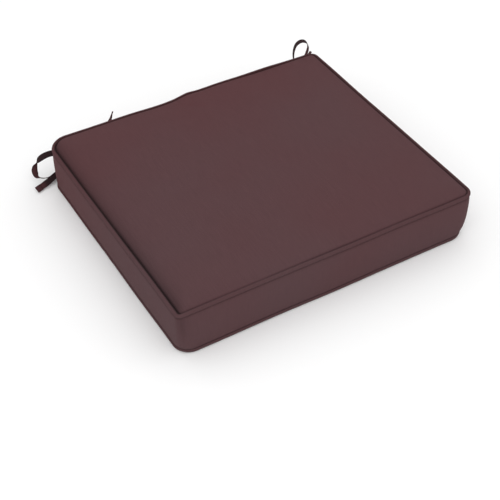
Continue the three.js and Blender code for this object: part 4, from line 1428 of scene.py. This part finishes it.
# %% Filler cords
FILLER_RADIUS = 0.0019


def fibre_material(name, pale, dark, upright, fineness, rough):
    """A mass of fibres, packed more closely up the piece than along it."""
    material, tree, shader, place = new_material(name, specular=0.1)
    drawn = put(tree, "ShaderNodeVectorMath", place, (1, 1, upright), operation="MULTIPLY").outputs[0]
    fibres = put(tree, "ShaderNodeTexNoise", drawn, None, fineness, 6.0, 0.7).outputs["Fac"]
    clumps = use_group(tree, dye, Place=place, Patch_size=0.03).outputs["Drift"]
    share = maths(tree, "MULTIPLY_ADD", clumps, 0.35, maths(tree, "MULTIPLY", fibres, 0.65))
    colour = blend_colours(tree, share, dark, pale)
    link_colour(tree, shader, colour, maths(tree, "MULTIPLY_ADD", fibres, 0.1, rough))
    link_bump(tree, shader, fibres, 0.6, 0.0006)
    shader.inputs["Sheen Weight"].default_value = 0.2
    return material


COTTON_PALE, COTTON_DARK = (0.72, 0.69, 0.6, 1), (0.5, 0.47, 0.4, 1)
WADDING_PALE, WADDING_DARK = (0.86, 0.86, 0.83, 1), (0.68, 0.69, 0.67, 1)
filler_fibre = fibre_material("filler_fibre", COTTON_PALE, COTTON_DARK, 4, 700, 0.85)
wadding_fibre = fibre_material("wadding_fibre", WADDING_PALE, WADDING_DARK, 3, 180, 0.88)


for edge in EDGES:
    cord = swept_ring(f"{edge}_filler_cord", edge, FILLER_RADIUS, 0.03, 35, 14)
    stand_in(cord, filler_fibre, "filler_cord", f"{edge}_piping_cord")
print("filler cords:", len(EDGES))

# %% [markdown]
# Polyurethane foam is a mass of burst bubbles, so its face is a field of small round pits with thin
# walls between them. A Voronoi pattern has just that look: the distance to the nearest of many
# scattered points. The colour is painted darker in the pits, as painted shade.

# %% Foam and wadding
def foam_material():
    material, tree, shader, place = new_material("open_cell_foam", specular=0.15)
    cells = put(tree, "ShaderNodeTexVoronoi", place, feature="F1")
    cells.inputs["Scale"].default_value = 900
    aged = use_group(tree, dye, Place=place, Patch_size=0.14).outputs["Drift"]
    base = blend_colours(tree, aged, (0.86, 0.80, 0.56, 1), (0.80, 0.70, 0.43, 1))
    # Painted shade: the colour is darker where the bump is low, in the pits.
    pit = maths(tree, "MULTIPLY_ADD", cells.outputs["Distance"], -0.5, 1.15)
    colour = blend_colours(tree, 1.0, base, grey_of(tree, pit), "MULTIPLY")
    link_colour(tree, shader, colour, maths(tree, "MULTIPLY_ADD", pit, 0.1, 0.8))
    link_bump(tree, shader, pit, 0.5, 0.0004)
    return material


def clean_copy(node, name):
    """The frame's solid as a new mesh, with its flat faces whole again."""
    mesh = bpy.data.meshes.new(name)
    shape = bmesh.new()
    shape.from_mesh(frame["nodes"][node].data)
    bmesh.ops.remove_doubles(shape, verts=shape.verts, dist=1e-6)
    straight = math.radians(1)
    bmesh.ops.dissolve_limit(shape, angle_limit=straight, verts=shape.verts, edges=shape.edges)
    shape.to_mesh(mesh)
    shape.free()
    return add_object(name, mesh)


def round_edges(piece, width):
    corner = math.radians(30)
    add_modifier(piece, "BEVEL", width=width, segments=3, limit_method="ANGLE", angle_limit=corner)


def hidden_filling(node, name, material, slot, edge):
    piece = clean_copy(node, name)
    round_edges(piece, edge)
    stand_in(piece, material, slot, node)
    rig.padded(piece, fill=0.9)
    return piece


foam = hidden_filling("foam_core", "foam_block", foam_material(), "foam", 0.003)
wadding = hidden_filling("fibre_wrap", "wadding_wrap", wadding_fibre, "wadding", 0.002)
print("filling:", foam.name, "and", wadding.name)

# %% [markdown]
# ## The zip
#
# A coil zip has no separate teeth. Each side is one stiff thread wound into a flattened spring and sewn
# to the edge of a woven tape, and the slider presses the two springs together. A real spring of wire is
# wound here for each side: a row of little boxes would look like a comb.

# %% Zip coils
COIL_PITCH = 0.0013
COIL_WIRE = 0.00032


def zip_material():
    material, tree, shader, place = new_material("coil_polyester")
    rub = put(tree, "ShaderNodeTexNoise", place, None, 260.0, 3.0).outputs["Fac"]
    tone = blend_colours(tree, rub, (0.045, 0.026, 0.027, 1), (0.085, 0.052, 0.053, 1))
    link_colour(tree, shader, tone, maths(tree, "MULTIPLY_ADD", rub, 0.2, 0.3))
    return material


coil_polyester = zip_material()


def tube(centre, across, other, radius, sides):
    """A closed tube round a line of points, whose section lies in the two directions given."""
    angle = np.linspace(0, 2 * math.pi, sides, endpoint=False)[None, :, None]
    circle = np.cos(angle) * np.atleast_2d(across)[:, None] + np.sin(angle) * np.atleast_2d(other)[:, None]
    faces = grid_faces(len(centre), sides, closed_columns=True)
    last = (len(centre) - 1) * sides
    faces += [list(range(sides))[::-1], list(range(last, last + sides))]
    return (centre[:, None] + radius * circle).reshape(-1, 3), faces


def zip_coil(half, side):
    low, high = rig.box(f"zip_teeth_{half}")
    turns = int((high.x - low.x - 2 * COIL_WIRE) / COIL_PITCH)
    t = np.linspace(0, turns, turns * 12 + 1)
    middle, reach = (low + high) / 2, (high - low) / 2 - Vector((COIL_WIRE,) * 3)
    x = middle.x + (t - turns / 2) * COIL_PITCH
    y = middle.y + reach.y * np.sin(t * 2 * math.pi)
    z = middle.z + reach.z * side * np.cos(t * 2 * math.pi)
    centre = np.column_stack([x, y, z])
    heading = unit(np.gradient(centre, axis=0))
    across = unit(np.cross(heading, [1, 0, 0]))
    wire = tube(centre, across, np.cross(heading, across), COIL_WIRE, 5)
    coil = new_piece(f"zip_coil_{half}", *wire)
    stand_in(coil, coil_polyester, "zip_coil", f"zip_teeth_{half}")
    return turns


print("zip coils:", zip_coil("upper", 1), "turns above and", zip_coil("lower", -1), "below")

# %% [markdown]
# The tapes are narrow woven ribbons. The frame's strips have the right shape, so they stay, and get a
# herringbone weave. The slider and its pull stay too, with their edges rounded as die-cast zinc has
# them, and a dark lacquer that is rubbed bright along its edges and high spots.

# %% Zip tapes and slider
def tape_material():
    material, tree, shader, place = new_material("zip_tape_weave", specular=0.15)
    apart = put(tree, "ShaderNodeSeparateXYZ", place)
    up = maths(tree, "MULTIPLY", apart.outputs[2], 1 / THREAD_PITCH)
    along = maths(tree, "MULTIPLY", apart.outputs[0], 1 / THREAD_PITCH)
    slanted = maths(tree, "ADD", along, maths(tree, "PINGPONG", up, 3.0))
    ridge = ridges(tree, slanted)
    # Painted shade: darker in the grooves between the ridges of the weave.
    tone = blend_colours(tree, ridge, (0.030, 0.018, 0.019, 1), (0.062, 0.038, 0.039, 1))
    link_colour(tree, shader, tone, maths(tree, "MULTIPLY_ADD", ridge, -0.1, 0.9))
    link_bump(tree, shader, ridge, 0.5, 0.0002)
    return material


def lacquer_material():
    material, tree, shader, place = new_material("lacquered_zinc")
    speckle = put(tree, "ShaderNodeTexNoise", place, None, 900.0, 3.0).outputs["Fac"]
    pointed = put(tree, "ShaderNodeNewGeometry").outputs["Pointiness"]
    edge = put(tree, "ShaderNodeMapRange", pointed, 0.56, 0.72, 0.0, 1.0).outputs["Result"]
    rubbed = maths(tree, "MULTIPLY", edge, maths(tree, "MULTIPLY_ADD", speckle, 0.8, 0.1))
    tone = blend_colours(tree, rubbed, (0.040, 0.026, 0.026, 1), (0.42, 0.37, 0.33, 1))
    link_colour(tree, shader, tone, maths(tree, "MULTIPLY_ADD", speckle, 0.15, 0.32))
    tree.links.new(maths(tree, "MULTIPLY_ADD", rubbed, 0.8, 0.2), shader.inputs["Metallic"])
    return material


def dress(node, material, slot, edge=0):
    piece = frame["nodes"][node]
    piece.data.materials.clear()
    piece.data.materials.append(material)
    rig.slot(piece, slot)
    if edge:
        round_edges(piece, edge)


tape_weave, lacquered_zinc = tape_material(), lacquer_material()
for half in ("upper", "lower"):
    dress(f"zip_tape_{half}", tape_weave, "zip_tape")
dress("zip_slider", lacquered_zinc, "zip_metal", 0.00025)
dress("zip_pull_tab", lacquered_zinc, "zip_metal", 0.0003)
print("zip: tapes, slider and pull dressed")

# %% [markdown]
# The two coils leave a slit for the slider to travel in, and bare foam would show in it. So a strip of
# the cover's cloth lies behind the zip, between the slider and the foam, as in covers whose foam must
# not catch in the zip.

# %% Zip guard
GUARD_THICKNESS = 0.0004
PAST_TAPE_ENDS, WITHIN_TAPE_EDGES = 0.003, 0.002


def zip_guard():
    tape_low, tape_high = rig.box("zip_tape_lower")[0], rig.box("zip_tape_upper")[1]
    middle = (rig.box("foam_core")[1].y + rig.box("zip_slider")[0].y) / 2
    rows, columns = 12, 120
    x = np.linspace(tape_low.x - PAST_TAPE_ENDS, tape_high.x + PAST_TAPE_ENDS, columns)
    z = np.linspace(tape_low.z + WITHIN_TAPE_EDGES, tape_high.z - WITHIN_TAPE_EDGES, rows)
    grid = np.stack(np.broadcast_arrays(x[None, :], middle, z[:, None]), axis=2).reshape(-1, 3)
    grid[:, 1] += 0.00012 * smooth_noise(grid, 0.04, 61)
    # The whole guard gets painted shade, as it lies in the dark behind the zip.
    faces, shade = grid_faces(rows, columns, flip=True), np.full(len(grid), 0.9)
    guard = new_piece("zip_guard_cloth", grid, faces, grid[:, [0, 2]], shade)
    add_modifier(guard, "SOLIDIFY", thickness=GUARD_THICKNESS, offset=0)
    return stand_in(guard, cover_cloth, "cover_cloth")


print("guard:", len(zip_guard().data.polygons), "faces")

# %% [markdown]
# ## Stitching
#
# Lines of lockstitch hold the zip to its two strips and flatten the joins beside it. A drawn dashed
# line would vanish at a low angle, so each stitch is a short arch of thread, sunk into the cloth at
# both ends. The rows are laid on the cloth as it lies after the simulation.

# %% Stitch rows
STITCH_LENGTH = 0.0026
STITCH_GAP = 0.0008
THREAD_RADIUS = 0.00017
ARCH, SUNK = 0.00016, 0.00008
FROM_FOLD, FROM_JOIN = 0.0032, 0.0022


def thread_material():
    material, tree, shader, place = new_material("sewing_thread", specular=0.3)
    twist = put(tree, "ShaderNodeTexWave", place, 900, bands_direction="DIAGONAL").outputs["Fac"]
    # Painted shade: the gaps between the twisted strands are darker.
    thread_brown, strand_gap_shade = shade_of(RED_BROWN, 0.95), shade_of(RED_BROWN, 0.55)
    tone = blend_colours(tree, twist, strand_gap_shade, thread_brown)
    link_colour(tree, shader, tone, maths(tree, "MULTIPLY_ADD", twist, -0.1, 0.62))
    return material


sewing_thread = thread_material()


def stitch_row(name, line):
    """Arched stitches along a line on the back of the band, all in one mesh."""
    run = distance_along(line)
    starts = np.arange(0.001, run[-1] - STITCH_LENGTH, STITCH_LENGTH + STITCH_GAP)
    share = np.linspace(0, 1, 7)
    points, faces = [], []
    for start in starts:
        centre = read_between(start + STITCH_LENGTH * share, run, line)
        centre[:, 1] += ARCH * np.sin(math.pi * share) ** 0.5 - SUNK
        sideways = np.cross(unit(centre[-1] - centre[0]), [0, 1, 0])
        new_points, new_faces = tube(centre, sideways, (0, 1, 0), THREAD_RADIUS, 6)
        faces += [[len(points) + i for i in face] for face in new_faces]
        points.extend(new_points)
    stand_in(new_piece(name, points, faces), sewing_thread, "cover_cloth")
    return len(starts)


def on_the_back(x, z):
    """A point of the back band's outer face."""
    column = int(np.argmin(np.abs(band_grid[0, :, 0] - x) + 9 * (band_grid[0, :, 1] < 0)))
    return [x, np.interp(z, band_grid[:, column, 2], band_grid[:, column, 1]), z]


def zip_stitching():
    half = zip_end_x - 0.003
    rows = {}
    for name, z in (("upper", OPENING_HIGH + FROM_FOLD), ("lower", OPENING_LOW - FROM_FOLD)):
        rows[f"zip_{name}_stitching"] = [on_the_back(x, z) for x in np.linspace(-half, half, 160)]
    for name, x in (("left", -zip_end_x - FROM_JOIN), ("right", zip_end_x + FROM_JOIN)):
        heights = np.linspace(BAND_ROWS[2], BAND_ROWS[-3], 60)
        rows[f"zip_{name}_join_stitching"] = [on_the_back(x, z) for z in heights]
    return sum(stitch_row(name, np.array(line)) for name, line in rows.items())


print("stitches:", zip_stitching())

# %% [markdown]
# ## Sizes
#
# The box round everything that was modelled is written to a file together with the box of the plain
# solids. They should agree within a millimetre or so, since every piece was drawn from the frame.

# %% Sizes and finish
low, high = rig.bounds()
with open("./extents.json", "w") as f:
    json.dump({"cad": [list(cad_low), list(cad_high)], "visual": [list(low), list(high)]}, f)
print("visual box:", [round(x, 4) for x in low], [round(x, 4) for x in high])
